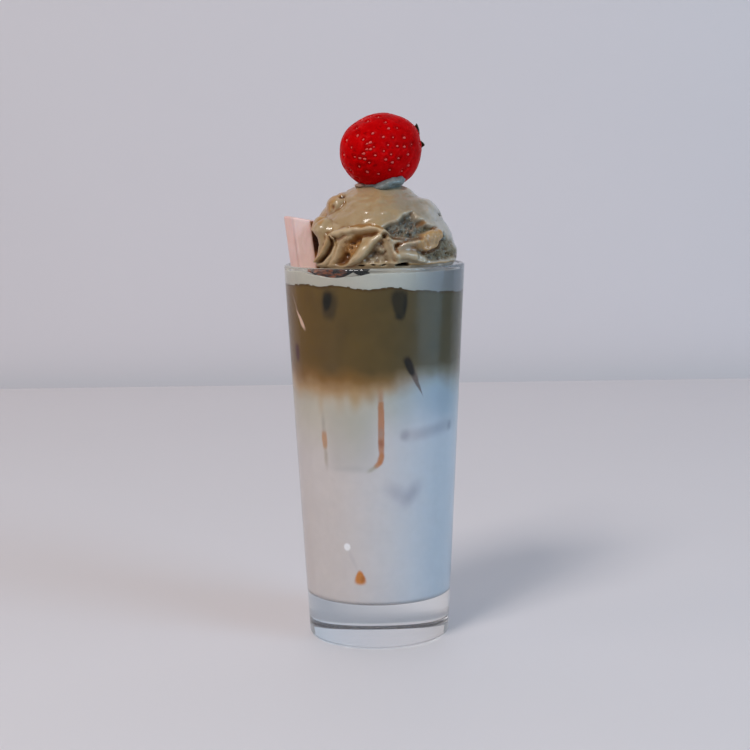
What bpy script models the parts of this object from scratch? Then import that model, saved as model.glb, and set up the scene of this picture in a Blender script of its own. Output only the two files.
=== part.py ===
# Tall glass of strawberry matcha latte: milk, matcha and cream in layers, a scoop of
# ice cream, a pink coated wafer stick leaning on the rim and a strawberry on top.
# Metres, +Z up, origin at the centre of the glass's underside, front of the glass at -Y.

import math

import bmesh
import bpy
import numpy as np
from mathutils import Matrix, Quaternion, Vector
from mathutils.bvhtree import BVHTree

MM = 0.001

# Between pieces that touch
GAP = 0.3 * MM

# Glass: a straight taper with a thick clear base
GLASS_HEIGHT = 150 * MM
RIM_RADIUS = 35.75 * MM
FLOOR_RADIUS = 28.1 * MM
HEEL_RADIUS = 2.2 * MM
WALL = 2.0 * MM
BASE_THICKNESS = 18.0 * MM
CORNER_RADIUS = 2.0 * MM
RECESS_RADIUS = 20.0 * MM
RECESS_DEPTH = 0.5 * MM
RECESS_EDGE = 1.2 * MM
GLASS_STEPS = 56

# Drink: heights at the wall against the angle round from the front, positive to the right
DRINK_STEPS = 48
MATCHA_START = [(-72, 101.0), (-40, 99.0), (-15, 98.4), (6, 99.0), (23, 102.0), (42, 107.5),
                (68, 105.5), (120, 101.5), (180, 99.5), (235, 102.5)]
CREAM_START = [(-70, 142.8), (-47, 143.4), (-38, 142.6), (-25, 143.5), (-5, 141.8), (12, 142.6),
               (30, 141.0), (50, 139.9), (74, 139.2), (110, 141.0), (150, 142.9), (185, 141.2),
               (225, 143.3), (262, 141.9)]
CREAM_TOP = [(-55, 148.4), (-43, 147.2), (-28, 146.3), (-18, 146.8), (-10, 147.1), (-3, 148.0), (10, 148.2),
             (60, 148.0), (130, 147.3), (190, 148.1), (250, 147.5)]

# Coated wafer stick: outline at the rim's height, and how far it leans to the left
STICK_OUTLINE = [(-33.3, 2.3), (-33.0, -1.6), (-30.3, -4.6), (-22.7, -4.8), (-20.2, 3.2), (-22.0, 5.0),
                 (-31.6, 4.9)]
STICK_LEAN = 0.122
STICK_TOP = 169.0 * MM
STICK_LENGTH = 62.0 * MM
STICK_TOP_DROP = 1.6 * MM
STICK_BEVEL = 0.7 * MM

# Ice cream scoop: lumps as (x, y, z, radius x, radius y, radius z), in millimetres
SCOOP_BOTTOM = 143.2 * MM
SCOOP_LUMPS = [
    (4.5, 1.0, 154.5, 27.8, 28.0, 25.0),
    (2.2, 1.0, 172.0, 15.8, 15.5, 10.2),
    (-14.4, -2.5, 172.2, 5.2, 5.6, 5.0),
    (-12.5, 5.0, 166.0, 9.5, 11.0, 9.0),
    (17.8, -3.0, 169.0, 7.9, 8.5, 6.6),
    (14.5, 9.0, 166.5, 11.0, 11.0, 8.5),
    (22.2, -4.5, 154.5, 9.6, 12.5, 9.4),
    (21.0, 8.0, 156.0, 10.4, 12.0, 10.0),
    (-17.0, -10.5, 159.0, 5.6, 6.6, 11.0),
    (-20.0, -5.5, 163.8, 4.0, 4.6, 5.0),
    (-6.0, 22.5, 157.5, 10.5, 7.2, 7.5),
    (8.0, 24.0, 151.5, 12.0, 6.4, 6.0),
]
# Folds of melted ice cream over the scoop, as a line on the scoop seen from the front
# (x, z, radius) with how far it stands out
SCOOP_FOLDS = [
    [(-20.0, 149.0, 2.4), (-19.6, 156.0, 2.6), (-17.5, 163.0, 2.4), (-14.0, 169.0, 1.8)],
    [(-13.5, 162.5, 2.0), (-7.0, 164.6, 2.5), (0.0, 165.0, 2.6), (4.6, 161.6, 2.6), (6.6, 157.5, 2.4)],
    [(3.5, 162.0, 2.4), (-2.0, 158.2, 2.9), (-8.0, 153.8, 3.0), (-12.5, 149.5, 2.6)],
    [(8.0, 158.0, 2.2), (14.0, 157.0, 2.2), (20.5, 158.5, 2.0), (25.0, 161.5, 1.8)],
    [(5.0, 151.5, 2.4), (12.0, 151.8, 2.6), (19.0, 150.5, 2.4)],
]
# The same at the back
SCOOP_BACK_FOLDS = [
    [(-18.0, 157.0, 2.4), (-9.0, 160.5, 2.8), (1.0, 159.5, 2.6), (11.0, 162.5, 2.6), (20.0, 160.0, 2.2)],
    [(-2.0, 170.0, 2.2), (2.0, 164.0, 2.6), (5.0, 156.0, 2.8), (3.5, 150.0, 2.4)],
]
# Hollows scraped or melted into the scoop: (x, z, radius x, radius z, depth) seen from the front
SCOOP_POCKETS = [
    (11.5, 163.0, 9.5, 5.0, 3.6),
    (-9.5, 158.0, 6.0, 3.6, 3.2),
    (-12.0, 152.5, 3.2, 3.0, 3.0),
    (0.5, 152.0, 4.5, 3.0, 2.0),
    (22.5, 155.5, 5.0, 2.2, 2.2),
    (-21.6, 157.0, 1.6, 3.4, 3.2),
]
SCOOP_BACK_POCKETS = [
    (-8.0, 165.5, 7.0, 3.2, 2.6),
    (13.0, 156.0, 7.5, 3.6, 3.0),
    (-14.0, 152.0, 5.0, 3.0, 2.4),
]
SCOOP_VOXEL = 1.25 * MM
SCOOP_TRIANGLES = 3700
SCOOP_WIDEST = 33.0 * MM
SCOOP_WIDEST_BELOW_RIM = 31.0 * MM
SEAT_REACH = 5 * MM

# Pale dab of cream that the strawberry is pressed into
DAB_CENTRE = Vector((5.6, -2.6, 181.0)) * MM
DAB_RADII = Vector((7.2, 8.8, 2.8)) * MM
DAB_TILT = math.radians(-16)

# Strawberry: its tip points to the front and a little left and down
BERRY_CENTRE = Vector((3.0, 1.5, 194.3)) * MM
BERRY_LENGTH = 37.6 * MM
BERRY_RADIUS = 15.0 * MM
BERRY_SHOULDER = 0.44
BERRY_STALK_END = Vector((0.56, 0.80, 0.10)).normalized()
BERRY_FULL_SIDE = Vector((-0.7, -0.1, -0.7))
BERRY_FULLNESS = 0.035
BERRY_ROWS = 18
BERRY_STEPS = 30
SEED_COUNT = 60
SEED_SIZE = Vector((0.75, 1.15, 0.45)) * MM
GOLDEN_ANGLE = math.radians(137.508)

# Green leaves at the strawberry's stalk end
LEAF_COUNT = 9
LEAF_STEPS = 4
LEAF_REACH = 11.0 * MM
LEAF_WAIST = 5.0 * MM
LEAF_THICKNESS = 0.7 * MM
LEAF_LIFT = 0.7 * MM
LEAF_CURL = 1.4 * MM
STALK_RADIUS = 1.3 * MM
STALK_HEIGHT = 3.0 * MM


def clear_scene():
    for old in list(bpy.data.objects):
        bpy.data.objects.remove(old, do_unlink=True)


def material(name, colour, roughness, transmission=0.0):
    made = bpy.data.materials.new(name)
    made.use_nodes = True
    shader = made.node_tree.nodes["Principled BSDF"]
    shader.inputs["Base Color"].default_value = (*colour, 1.0)
    shader.inputs["Roughness"].default_value = roughness
    shader.inputs["Metallic"].default_value = 0.0
    shader.inputs["Transmission Weight"].default_value = transmission
    return made


def add_object(name, mesh, finish):
    made = bpy.data.objects.new(name, mesh)
    bpy.context.scene.collection.objects.link(made)
    if finish is not None:
        mesh.materials.clear()
        mesh.materials.append(finish)
    mesh.shade_smooth()
    mesh.set_sharp_from_angle(angle=math.radians(40))
    return made


def mesh_from(name, shape):
    """Writes a bmesh, with its faces turned outwards, to a new mesh."""
    bmesh.ops.recalc_face_normals(shape, faces=shape.faces)
    mesh = bpy.data.meshes.new(name)
    shape.to_mesh(mesh)
    shape.free()
    return mesh


def evaluated(piece, name):
    """The piece's mesh with its modifiers applied, as a new mesh."""
    depsgraph = bpy.context.evaluated_depsgraph_get()
    depsgraph.update()
    mesh = bpy.data.meshes.new_from_object(piece.evaluated_get(depsgraph))
    mesh.name = name
    return mesh


def cut(piece, cutter, solver="EXACT"):
    """Takes the cutter's shape out of the piece and removes the cutter."""
    modifier = piece.modifiers.new("Cut", "BOOLEAN")
    modifier.operation = "DIFFERENCE"
    modifier.solver = solver
    modifier.object = cutter
    finish = piece.data.materials[0]
    piece.data = evaluated(piece, piece.name)
    piece.modifiers.clear()
    piece.data.materials.clear()
    piece.data.materials.append(finish)
    bpy.data.objects.remove(cutter, do_unlink=True)


def smooth_step(t):
    t = np.clip(t, 0.0, 1.0)
    return t * t * (3.0 - 2.0 * t)


def round_the_wall(points, degrees):
    """The height, in metres, at an angle, eased between the (angle, millimetres) points."""
    turned = [(a, h) for a, h in points] + [(points[0][0] + 360, points[0][1])]
    a = points[0][0] + (degrees - points[0][0]) % 360
    for (a0, h0), (a1, h1) in zip(turned, turned[1:]):
        if a0 <= a <= a1:
            return (h0 + (h1 - h0) * float(smooth_step((a - a0) / (a1 - a0)))) * MM
    return turned[0][1] * MM


# Glass

def outer_radius(z):
    return FLOOR_RADIUS + (RIM_RADIUS - FLOOR_RADIUS) * z / GLASS_HEIGHT


def inner_radius(z):
    return outer_radius(z) - WALL


def arc(centre, radius, start, end, count):
    """Points on an arc in the XZ plane, from one angle in degrees to another."""
    angles = [math.radians(start + (end - start) * i / count) for i in range(count + 1)]
    return [(centre[0] + radius * math.cos(a), centre[1] + radius * math.sin(a)) for a in angles]


def glass_profile():
    taper = math.degrees(math.atan2(RIM_RADIUS - FLOOR_RADIUS, GLASS_HEIGHT))
    lean = math.radians(taper)
    bead = WALL / 2
    rim = arc((RIM_RADIUS - bead, GLASS_HEIGHT - bead), bead, 180 - taper, -taper, 6)
    heel_x = outer_radius(HEEL_RADIUS) - HEEL_RADIUS / math.cos(lean)
    heel = arc((heel_x, HEEL_RADIUS), HEEL_RADIUS, -taper, -90, 6)
    corner_z = BASE_THICKNESS + CORNER_RADIUS
    corner_x = inner_radius(corner_z) - CORNER_RADIUS / math.cos(lean)
    corner = arc((corner_x, corner_z), CORNER_RADIUS, -90, -taper, 5)
    underside = [(RECESS_RADIUS, 0.0), (RECESS_RADIUS - RECESS_EDGE, RECESS_DEPTH * 0.6)]
    underside += [(RECESS_RADIUS * 0.6, RECESS_DEPTH), (0.0, RECESS_DEPTH)]
    return rim + heel + underside + [(0.0, BASE_THICKNESS)] + corner


def turned(name, profile, steps, closed):
    """Turns a profile in the XZ plane about Z. Points at x = 0 become poles."""
    shape = bmesh.new()
    points = [shape.verts.new((x, 0.0, z)) for x, z in profile]
    edges = [shape.edges.new(pair) for pair in zip(points, points[1:])]
    if closed:
        edges.append(shape.edges.new((points[-1], points[0])))
    bmesh.ops.spin(shape, geom=points + edges, cent=(0, 0, 0), axis=(0, 0, 1),
                   angle=math.tau, steps=steps, use_merge=True)
    bmesh.ops.remove_doubles(shape, verts=shape.verts, dist=0.01 * MM)
    bmesh.ops.dissolve_degenerate(shape, edges=shape.edges, dist=0.001 * MM)
    return mesh_from(name, shape)


def make_glass():
    profile = glass_profile()
    axis_points = [i for i, (x, z) in enumerate(profile) if x == 0.0]
    opened = profile[axis_points[1]:] + profile[:axis_points[1]]
    mesh = turned("glass", opened, GLASS_STEPS, closed=False)
    return add_object("glass", mesh, material("clear_glass", (0.9, 0.95, 0.95), 0.03, 1.0))


# Drink

def drink_layer(name, rings, finish):
    """A closed body turned about Z from rings of (radius, height of the angle in degrees).
    The first and the last ring close on the axis."""
    shape = bmesh.new()
    loops = []
    for radius, height in rings:
        if radius == 0.0:
            mean = sum(height(a) for a in range(0, 360, 15)) / 24
            loops.append([shape.verts.new((0.0, 0.0, mean))])
            continue
        loop = []
        for i in range(DRINK_STEPS):
            degrees = 360 * i / DRINK_STEPS
            a = math.radians(degrees)
            z = height(degrees)
            r = radius(z) if callable(radius) else radius
            loop.append(shape.verts.new((r * math.sin(a), -r * math.cos(a), z)))
        loops.append(loop)
    for low, high in zip(loops, loops[1:]):
        for i in range(DRINK_STEPS):
            j = (i + 1) % DRINK_STEPS
            if len(low) == 1:
                shape.faces.new((low[0], high[i], high[j]))
            elif len(high) == 1:
                shape.faces.new((low[i], low[j], high[0]))
            else:
                shape.faces.new((low[i], low[j], high[j], high[i]))
    return add_object(name, mesh_from(name, shape), finish)


def drink_radius(z):
    return inner_radius(z) - GAP


def surface(points, share, offset=0.0):
    """A layer's surface at a share of the way out: the wall's waves fade towards the middle."""
    middle = sum(h for a, h in points) / len(points) * MM

    def height(degrees):
        return middle + (round_the_wall(points, degrees) - middle) * share + offset
    return height


def level(z):
    return lambda degrees: z


def flat_surface_rings(points, offset, outwards):
    """Rings of a wavy surface, from the axis to the wall or back."""
    shares = [0.0, 0.35, 0.62, 0.84]
    wide = drink_radius(sum(h for a, h in points) / len(points) * MM)
    rings = [(wide * s, surface(points, s, offset)) for s in shares]
    rings.append((drink_radius, surface(points, 1.0, offset)))
    return rings if outwards else rings[::-1]


def make_milk():
    floor = BASE_THICKNESS + GAP
    corner = CORNER_RADIUS - GAP
    corner_z = floor + corner
    corner_x = drink_radius(corner_z) - corner
    rings = [(0.0, level(floor)), (corner_x * 0.5, level(floor))]
    rings += [(x, level(z)) for x, z in arc((corner_x, corner_z), corner, -90, 0, 4)]
    rings += flat_surface_rings(MATCHA_START, -GAP / 2, outwards=False)
    return drink_layer("milk_layer", rings, material("milk", (0.72, 0.72, 0.74), 0.35))


def make_matcha():
    rings = flat_surface_rings(MATCHA_START, GAP / 2, outwards=True)
    rings += [(drink_radius, level(122 * MM))]
    rings += flat_surface_rings(CREAM_START, -GAP / 2, outwards=False)
    return drink_layer("matcha_layer", rings, material("matcha", (0.13, 0.10, 0.05), 0.35))


def make_cream():
    rings = flat_surface_rings(CREAM_START, GAP / 2, outwards=True)
    rings += flat_surface_rings(CREAM_TOP, 0.0, outwards=False)
    return drink_layer("cream_layer", rings, material("cream", (0.62, 0.62, 0.61), 0.45))


# Wafer stick

def stick_mesh(grow, name, extra=0.0, to_wall=0.0):
    """The leaning bar, its outline grown all round. to_wall carries its left side outwards."""
    centre_x = sum(x for x, y in STICK_OUTLINE) / len(STICK_OUTLINE)
    centre_y = sum(y for x, y in STICK_OUTLINE) / len(STICK_OUTLINE)
    shape = bmesh.new()
    ends = []
    for z in (STICK_TOP - STICK_LENGTH - extra, STICK_TOP + extra):
        shift = -STICK_LEAN * (z - GLASS_HEIGHT)
        ring = []
        for x, y in STICK_OUTLINE:
            way = Vector((x - centre_x, y - centre_y)).normalized() * grow
            px = x * MM + way.x + shift
            py = y * MM + way.y
            if to_wall and x < centre_x - 3.0:
                px -= to_wall
            right = (x - centre_x) / 5.0
            drop = STICK_TOP_DROP * max(right, 0.0) if z > GLASS_HEIGHT and not extra else 0.0
            ring.append(shape.verts.new((px, py, z - drop)))
        ends.append(ring)
    shape.faces.new(ends[0])
    shape.faces.new(ends[1])
    for i in range(len(STICK_OUTLINE)):
        j = (i + 1) % len(STICK_OUTLINE)
        shape.faces.new((ends[0][i], ends[0][j], ends[1][j], ends[1][i]))
    return mesh_from(name, shape)


def make_stick():
    stick = add_object("wafer_stick", stick_mesh(0.0, "wafer_stick"),
                       material("pink_coating", (0.75, 0.48, 0.44), 0.5))
    bevel = stick.modifiers.new("Bevel", "BEVEL")
    bevel.width = STICK_BEVEL
    bevel.segments = 2
    bevel.limit_method = "NONE"
    return stick


def stick_cutter(name, to_wall=0.0):
    return add_object(name, stick_mesh(GAP * 1.6, name, extra=GAP * 1.3, to_wall=to_wall), None)


# Ice cream

def scoop_front(x, z, side):
    """The y of the main lump's face at x, z, on the front (-1) or the back (1), in millimetres."""
    cx, cy, cz, rx, ry, rz = SCOOP_LUMPS[0]
    inside = 1.0 - ((x - cx) / rx) ** 2 - ((z - cz) / rz) ** 2
    return cy + side * ry * math.sqrt(max(inside, 0.02))


def curve_through(points, count):
    """Points along a smooth curve through the given ones (Catmull-Rom), as arrays."""
    rows = [np.array(p, float) for p in [points[0], *points, points[-1]]]
    found = []
    for a, b, c, d in zip(rows, rows[1:], rows[2:], rows[3:]):
        for i in range(count):
            t = i / count
            found.append(0.5 * (2 * b + (c - a) * t + (2 * a - 5 * b + 4 * c - d) * t * t
                                + (3 * b - a - 3 * c + d) * t ** 3))
    return found + [rows[-1]]


def lump(shape, centre, radii):
    made = bmesh.ops.create_icosphere(shape, subdivisions=3, radius=1.0)
    move = Matrix.Translation(Vector(centre) * MM) @ Matrix.Diagonal((*(Vector(radii) * MM), 1.0))
    bmesh.ops.transform(shape, matrix=move, verts=made["verts"])


def scoop_blank():
    """All lumps and folds as one bmesh of overlapping balls."""
    shape = bmesh.new()
    for x, y, z, rx, ry, rz in SCOOP_LUMPS:
        lump(shape, (x, y, z), (rx, ry, rz))
    for side, folds in ((-1, SCOOP_FOLDS), (1, SCOOP_BACK_FOLDS)):
        for fold in folds:
            for x, z, r in curve_through(fold, 5):
                lump(shape, (x, scoop_front(x, z, side) - side * 0.2 * r, z), (r, r, r))
    return shape


def press_pockets(co, normal):
    """Pushes the points near each pocket inwards."""
    for side, pockets in ((-1, SCOOP_POCKETS), (1, SCOOP_BACK_POCKETS)):
        facing = (normal[:, 1] * side > -0.2) & (co[:, 1] * side > 2 * MM)
        for x, z, rx, rz, depth in pockets:
            far = np.hypot((co[:, 0] / MM - x) / rx, (co[:, 2] / MM - z) / rz)
            press = depth * MM * smooth_step(1.3 - far) * facing
            co[:, 1] -= side * press
    return co


def keep_in_glass(co):
    """Flattens the scoop's underside and keeps it clear of the rim and the wall."""
    middle = 152 * MM
    low = co[:, 2] < middle
    deepest = middle - co[:, 2].min()
    down = np.maximum(middle - co[:, 2], 0.0) / deepest
    co[:, 2] = np.where(low, middle - (middle - SCOOP_BOTTOM) * down ** 0.8, co[:, 2])
    rise = smooth_step((co[:, 2] - 148.6 * MM) / (3.4 * MM))
    widest = SCOOP_WIDEST_BELOW_RIM + (SCOOP_WIDEST - SCOOP_WIDEST_BELOW_RIM) * rise
    reach = np.hypot(co[:, 0], co[:, 1])
    share = np.minimum(1.0, widest / np.maximum(reach, 1e-9))
    co[:, 0] *= share
    co[:, 1] *= share
    return co


def vertex_array(mesh):
    co = np.zeros(len(mesh.vertices) * 3)
    mesh.vertices.foreach_get("co", co)
    return co.reshape(-1, 3)


def make_ice_cream():
    finish = material("ice_cream", (0.42, 0.36, 0.28), 0.4)
    scoop = add_object("ice_cream", mesh_from("ice_cream", scoop_blank()), finish)
    remesh = scoop.modifiers.new("Remesh", "REMESH")
    remesh.mode = "VOXEL"
    remesh.voxel_size = SCOOP_VOXEL
    soften = scoop.modifiers.new("Soften", "SMOOTH")
    soften.factor = 0.5
    soften.iterations = 3
    mesh = evaluated(scoop, "ice_cream")
    scoop.modifiers.clear()
    normal = np.array([v.normal for v in mesh.vertices])
    co = keep_in_glass(press_pockets(vertex_array(mesh), normal))
    mesh.vertices.foreach_set("co", co.ravel())
    mesh.update()
    scoop.data = mesh
    thin = scoop.modifiers.new("Thin", "DECIMATE")
    thin.ratio = min(1.0, SCOOP_TRIANGLES / (2.0 * len(mesh.polygons)))
    scoop.data = evaluated(scoop, "ice_cream")
    scoop.modifiers.clear()
    scoop.data.materials.clear()
    scoop.data.materials.append(finish)
    return scoop


def scoop_seat(scoop):
    """A body that just encloses the scoop's underside, to cut its place in the cream."""
    shape = bmesh.new()
    for v in scoop.data.vertices:
        if v.co.z < GLASS_HEIGHT + SEAT_REACH:
            shape.verts.new(v.co)
    hull = bmesh.ops.convex_hull(shape, input=shape.verts)
    inside = [g for g in hull["geom_interior"] + hull["geom_unused"] if isinstance(g, bmesh.types.BMVert)]
    bmesh.ops.delete(shape, geom=list(set(inside)), context="VERTS")
    bmesh.ops.recalc_face_normals(shape, faces=shape.faces)
    shape.normal_update()
    outwards = [v.normal.copy() for v in shape.verts]
    for v, way in zip(shape.verts, outwards):
        v.co += way * GAP * 1.6
    return add_object("scoop_seat", mesh_from("scoop_seat", shape), None)


# Dab of cream under the strawberry

def dab_mesh(grow, name):
    shape = bmesh.new()
    bmesh.ops.create_uvsphere(shape, u_segments=28, v_segments=14, radius=1.0)
    radii = DAB_RADII + Vector((grow, grow, grow))
    tilt = Quaternion((0, 1, 0), DAB_TILT).to_matrix().to_4x4()
    move = Matrix.Translation(DAB_CENTRE) @ tilt @ Matrix.Diagonal((*radii, 1.0))
    bmesh.ops.transform(shape, matrix=move, verts=shape.verts)
    return mesh_from(name, shape)


def make_dab():
    return add_object("cream_dab", dab_mesh(0.0, "cream_dab"), material("pale_cream", (0.5, 0.53, 0.56), 0.4))


# Strawberry

def berry_outline(rows, grow=0.0):
    """Profile from the stalk end to the tip: (radius, height), tip at the bottom."""
    above = BERRY_LENGTH * BERRY_SHOULDER
    below = BERRY_LENGTH - above
    points = []
    for i in range(rows + 1):
        a = math.pi * i / rows
        if a < math.pi / 2:
            radius = BERRY_RADIUS * math.sin(a) ** 0.92
            height = above * math.cos(a)
        else:
            radius = BERRY_RADIUS * math.sin(a) ** 1.12
            height = below * math.cos(a)
        radius = radius if 0 < i < rows else 0.0
        stretch = 1.0 + grow / BERRY_RADIUS
        points.append((radius * stretch, height * stretch + (below - above) / 2))
    return points


def berry_turn():
    """From the berry's own frame, stalk end up, to its place on the dab."""
    turn = BERRY_STALK_END.to_track_quat("Z", "Y").to_matrix().to_4x4()
    return Matrix.Translation(BERRY_CENTRE) @ turn


def berry_mesh(grow, name):
    mesh = turned(name, berry_outline(BERRY_ROWS, grow), BERRY_STEPS, closed=False)
    for v in mesh.vertices:
        a = math.atan2(v.co.y, v.co.x)
        swell = 1.0 + 0.022 * math.sin(3 * a + 0.6) + 0.012 * math.sin(5 * a + v.co.z * 160)
        v.co.x *= swell
        v.co.y *= swell
    mesh.transform(berry_turn())
    for v in mesh.vertices:
        away = v.co - BERRY_CENTRE
        lean = away.normalized().dot(BERRY_FULL_SIDE)
        v.co = BERRY_CENTRE + away * (1.0 + BERRY_FULLNESS * lean)
    return mesh


def seed_places(mesh):
    """Evenly spread points on the berry with their outward directions."""
    tree = BVHTree.FromPolygons([v.co for v in mesh.vertices], [p.vertices for p in mesh.polygons])
    turn = berry_turn()
    places = []
    for i in range(SEED_COUNT):
        up = 0.80 - 1.76 * (i + 0.5) / SEED_COUNT
        a = i * GOLDEN_ANGLE
        flat = math.sqrt(1.0 - up * up)
        way = turn.to_3x3() @ Vector((flat * math.cos(a), flat * math.sin(a), up))
        hit, normal, index, far = tree.ray_cast(BERRY_CENTRE + way * 0.1, -way)
        if hit is not None:
            places.append((hit, normal))
    return places


def make_strawberry():
    berry = add_object("strawberry", berry_mesh(0.0, "strawberry"),
                       material("strawberry", (0.55, 0.006, 0.01), 0.3))
    seeds = bpy.data.collections.new("Seeds")
    bpy.context.scene.collection.children.link(seeds)
    for place, normal in seed_places(berry.data):
        if place.z < DAB_CENTRE.z + 6 * MM:
            continue
        shape = bmesh.new()
        bmesh.ops.create_icosphere(shape, subdivisions=1, radius=1.0)
        turn = normal.to_track_quat("Z", "Y").to_matrix().to_4x4()
        move = Matrix.Translation(place) @ turn @ Matrix.Diagonal((*SEED_SIZE, 1.0))
        bmesh.ops.transform(shape, matrix=move, verts=shape.verts)
        seeds.objects.link(bpy.data.objects.new("seed", mesh_from("seed", shape)))
    union = berry.modifiers.new("Seeds", "BOOLEAN")
    union.operation = "UNION"
    union.operand_type = "COLLECTION"
    union.collection = seeds
    union.solver = "EXACT"
    finish = berry.data.materials[0]
    berry.data = evaluated(berry, "strawberry")
    berry.modifiers.clear()
    berry.data.materials.clear()
    berry.data.materials.append(finish)
    for seed in list(seeds.objects):
        bpy.data.objects.remove(seed, do_unlink=True)
    bpy.data.collections.remove(seeds)
    return berry


def leaf_height(radius):
    """How far below the stalk end the berry's shoulder lies at a radius, in its own frame."""
    share = min(radius / BERRY_RADIUS, 1.0) ** (1 / 0.92)
    above = BERRY_LENGTH * BERRY_SHOULDER
    top = above + (BERRY_LENGTH - 2 * above) / 2
    return top - above * (1.0 - math.sqrt(max(1.0 - share * share, 0.0)))


def make_calyx():
    """A rosette of pointed leaves round a short stalk, as one thin wavy body."""
    steps = LEAF_COUNT * LEAF_STEPS
    shape = bmesh.new()
    rows = [0.0, 0.16, 0.2, 0.42, 0.64, 0.84, 1.0]
    faces = {}
    for side in (1, -1):
        loops = []
        for k, share in enumerate(rows):
            if share == 0.0:
                top = leaf_height(0.0) + LEAF_LIFT
                top += STALK_HEIGHT if side > 0 else 0.0
                loops.append([shape.verts.new((0.0, 0.0, top))])
                continue
            loop = []
            for i in range(steps):
                a = math.tau * i / steps
                turn = i * LEAF_COUNT / steps
                leaf = math.floor(turn + 0.5)
                petal = 1.0 - 2.0 * abs(turn - leaf)
                length = LEAF_REACH * (1.0 + 0.10 * math.sin(leaf * 2.4))
                reach = LEAF_WAIST + (length - LEAF_WAIST) * petal ** 0.9
                r = STALK_RADIUS * (0.9 + 0.8 * k / 2) if k <= 2 else reach * share
                r = max(r, STALK_RADIUS * (0.9 + 0.25 * k))
                curl = LEAF_CURL * (r / LEAF_REACH) ** 3 * (1.0 + 0.5 * math.sin(leaf * 3.7))
                rib = 0.35 * MM * petal * math.cos(math.tau * (turn - leaf))
                z = leaf_height(r) + LEAF_LIFT + curl + rib
                if side > 0:
                    z += LEAF_THICKNESS * (1.15 - 0.75 * share)
                    z += STALK_HEIGHT if k == 1 else 0.0
                loop.append(shape.verts.new((r * math.cos(a), r * math.sin(a), z)))
            loops.append(loop)
        faces[side] = loops
    for side, loops in faces.items():
        for low, high in zip(loops, loops[1:]):
            for i in range(steps):
                j = (i + 1) % steps
                if len(low) == 1:
                    shape.faces.new((low[0], high[i], high[j]))
                else:
                    shape.faces.new((low[i], high[i], high[j]))
                    shape.faces.new((low[i], high[j], low[j]))
    top, under = faces[1][-1], faces[-1][-1]
    for i in range(steps):
        j = (i + 1) % steps
        shape.faces.new((top[i], top[j], under[j], under[i]))
    mesh = mesh_from("calyx", shape)
    mesh.transform(berry_turn())
    return add_object("calyx", mesh, material("leaf_green", (0.03, 0.06, 0.015), 0.55))


def make_all():
    clear_scene()
    make_glass()
    make_milk()
    matcha = make_matcha()
    cream = make_cream()
    make_stick()
    scoop = make_ice_cream()
    dab = make_dab()
    make_strawberry()
    make_calyx()
    cut(matcha, stick_cutter("cut_matcha"))
    cut(cream, stick_cutter("cut_cream", to_wall=3 * MM))
    cut(cream, scoop_seat(scoop))
    cut(scoop, stick_cutter("cut_scoop"))
    cut(scoop, add_object("cut_dab", dab_mesh(GAP, "cut_dab"), None))
    cut(scoop, add_object("cut_berry", berry_mesh(GAP, "cut_berry"), None))
    cut(dab, add_object("cut_berry", berry_mesh(GAP, "cut_berry"), None))


make_all()
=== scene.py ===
import math
import bpy
import numpy as np
from mathutils import Matrix, Vector, noise
from mathutils.bvhtree import BVHTree


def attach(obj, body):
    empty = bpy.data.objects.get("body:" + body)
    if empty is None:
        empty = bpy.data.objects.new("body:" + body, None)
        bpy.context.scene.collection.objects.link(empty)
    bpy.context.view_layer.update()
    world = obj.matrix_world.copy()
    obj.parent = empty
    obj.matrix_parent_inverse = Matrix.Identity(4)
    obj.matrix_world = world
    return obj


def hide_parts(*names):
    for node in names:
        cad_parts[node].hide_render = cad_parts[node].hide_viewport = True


# Tall glass of strawberry matcha latte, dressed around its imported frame.
# The front of the glass is at -Y. Angles round the glass start there and grow to the right.
# Colours are written as a screen shows them, 0 to 255, and made linear where they are mixed.
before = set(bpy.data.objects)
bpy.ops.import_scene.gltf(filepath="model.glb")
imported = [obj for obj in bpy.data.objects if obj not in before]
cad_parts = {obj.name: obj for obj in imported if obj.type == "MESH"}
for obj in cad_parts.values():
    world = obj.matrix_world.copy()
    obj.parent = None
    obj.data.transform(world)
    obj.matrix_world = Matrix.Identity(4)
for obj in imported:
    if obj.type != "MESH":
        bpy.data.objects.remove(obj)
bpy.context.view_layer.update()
mm = 0.001
print("frame loaded")


# Selecting, applying and reading points

def selectNothing():
    if bpy.context.mode != "OBJECT":
        bpy.ops.object.mode_set(mode="OBJECT")
    bpy.ops.object.select_all(action="DESELECT")


def makeActive(piece):
    selectNothing()
    piece.select_set(True)
    bpy.context.view_layer.objects.active = piece


def placeInMesh(piece):
    makeActive(piece)
    bpy.ops.object.transform_apply(location=True, rotation=True, scale=True)


def applyModifier(piece, kind, **settings):
    makeActive(piece)
    modifier = piece.modifiers.new(kind.title(), kind)
    for name, value in settings.items():
        setattr(modifier, name, value)
    bpy.ops.object.modifier_apply(modifier=modifier.name)


def readPoints(piece, field="co"):
    values = np.zeros(len(piece.data.vertices) * 3)
    piece.data.vertices.foreach_get(field, values)
    return values.reshape(-1, 3)


def readNormals(piece):
    return readPoints(piece, "normal")


def writePoints(piece, points):
    piece.data.vertices.foreach_set("co", np.ascontiguousarray(points, dtype=float).ravel())
    piece.data.update()


def writeAttribute(piece, name, values):
    made = piece.data.attributes.new(name, "FLOAT", "POINT")
    made.data.foreach_set("value", np.ascontiguousarray(values, dtype=np.float32))


def faceOutwards():  # the piece is in edit mode, and leaves it
    bpy.ops.mesh.select_all(action="SELECT")
    bpy.ops.mesh.normals_make_consistent(inside=False)
    bpy.ops.object.mode_set(mode="OBJECT")


def joinPieces(pieces, name):
    makeActive(pieces[0])
    for piece in pieces:
        piece.select_set(True)
    bpy.ops.object.join()
    joined = bpy.context.view_layer.objects.active
    joined.name = name
    return joined


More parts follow.
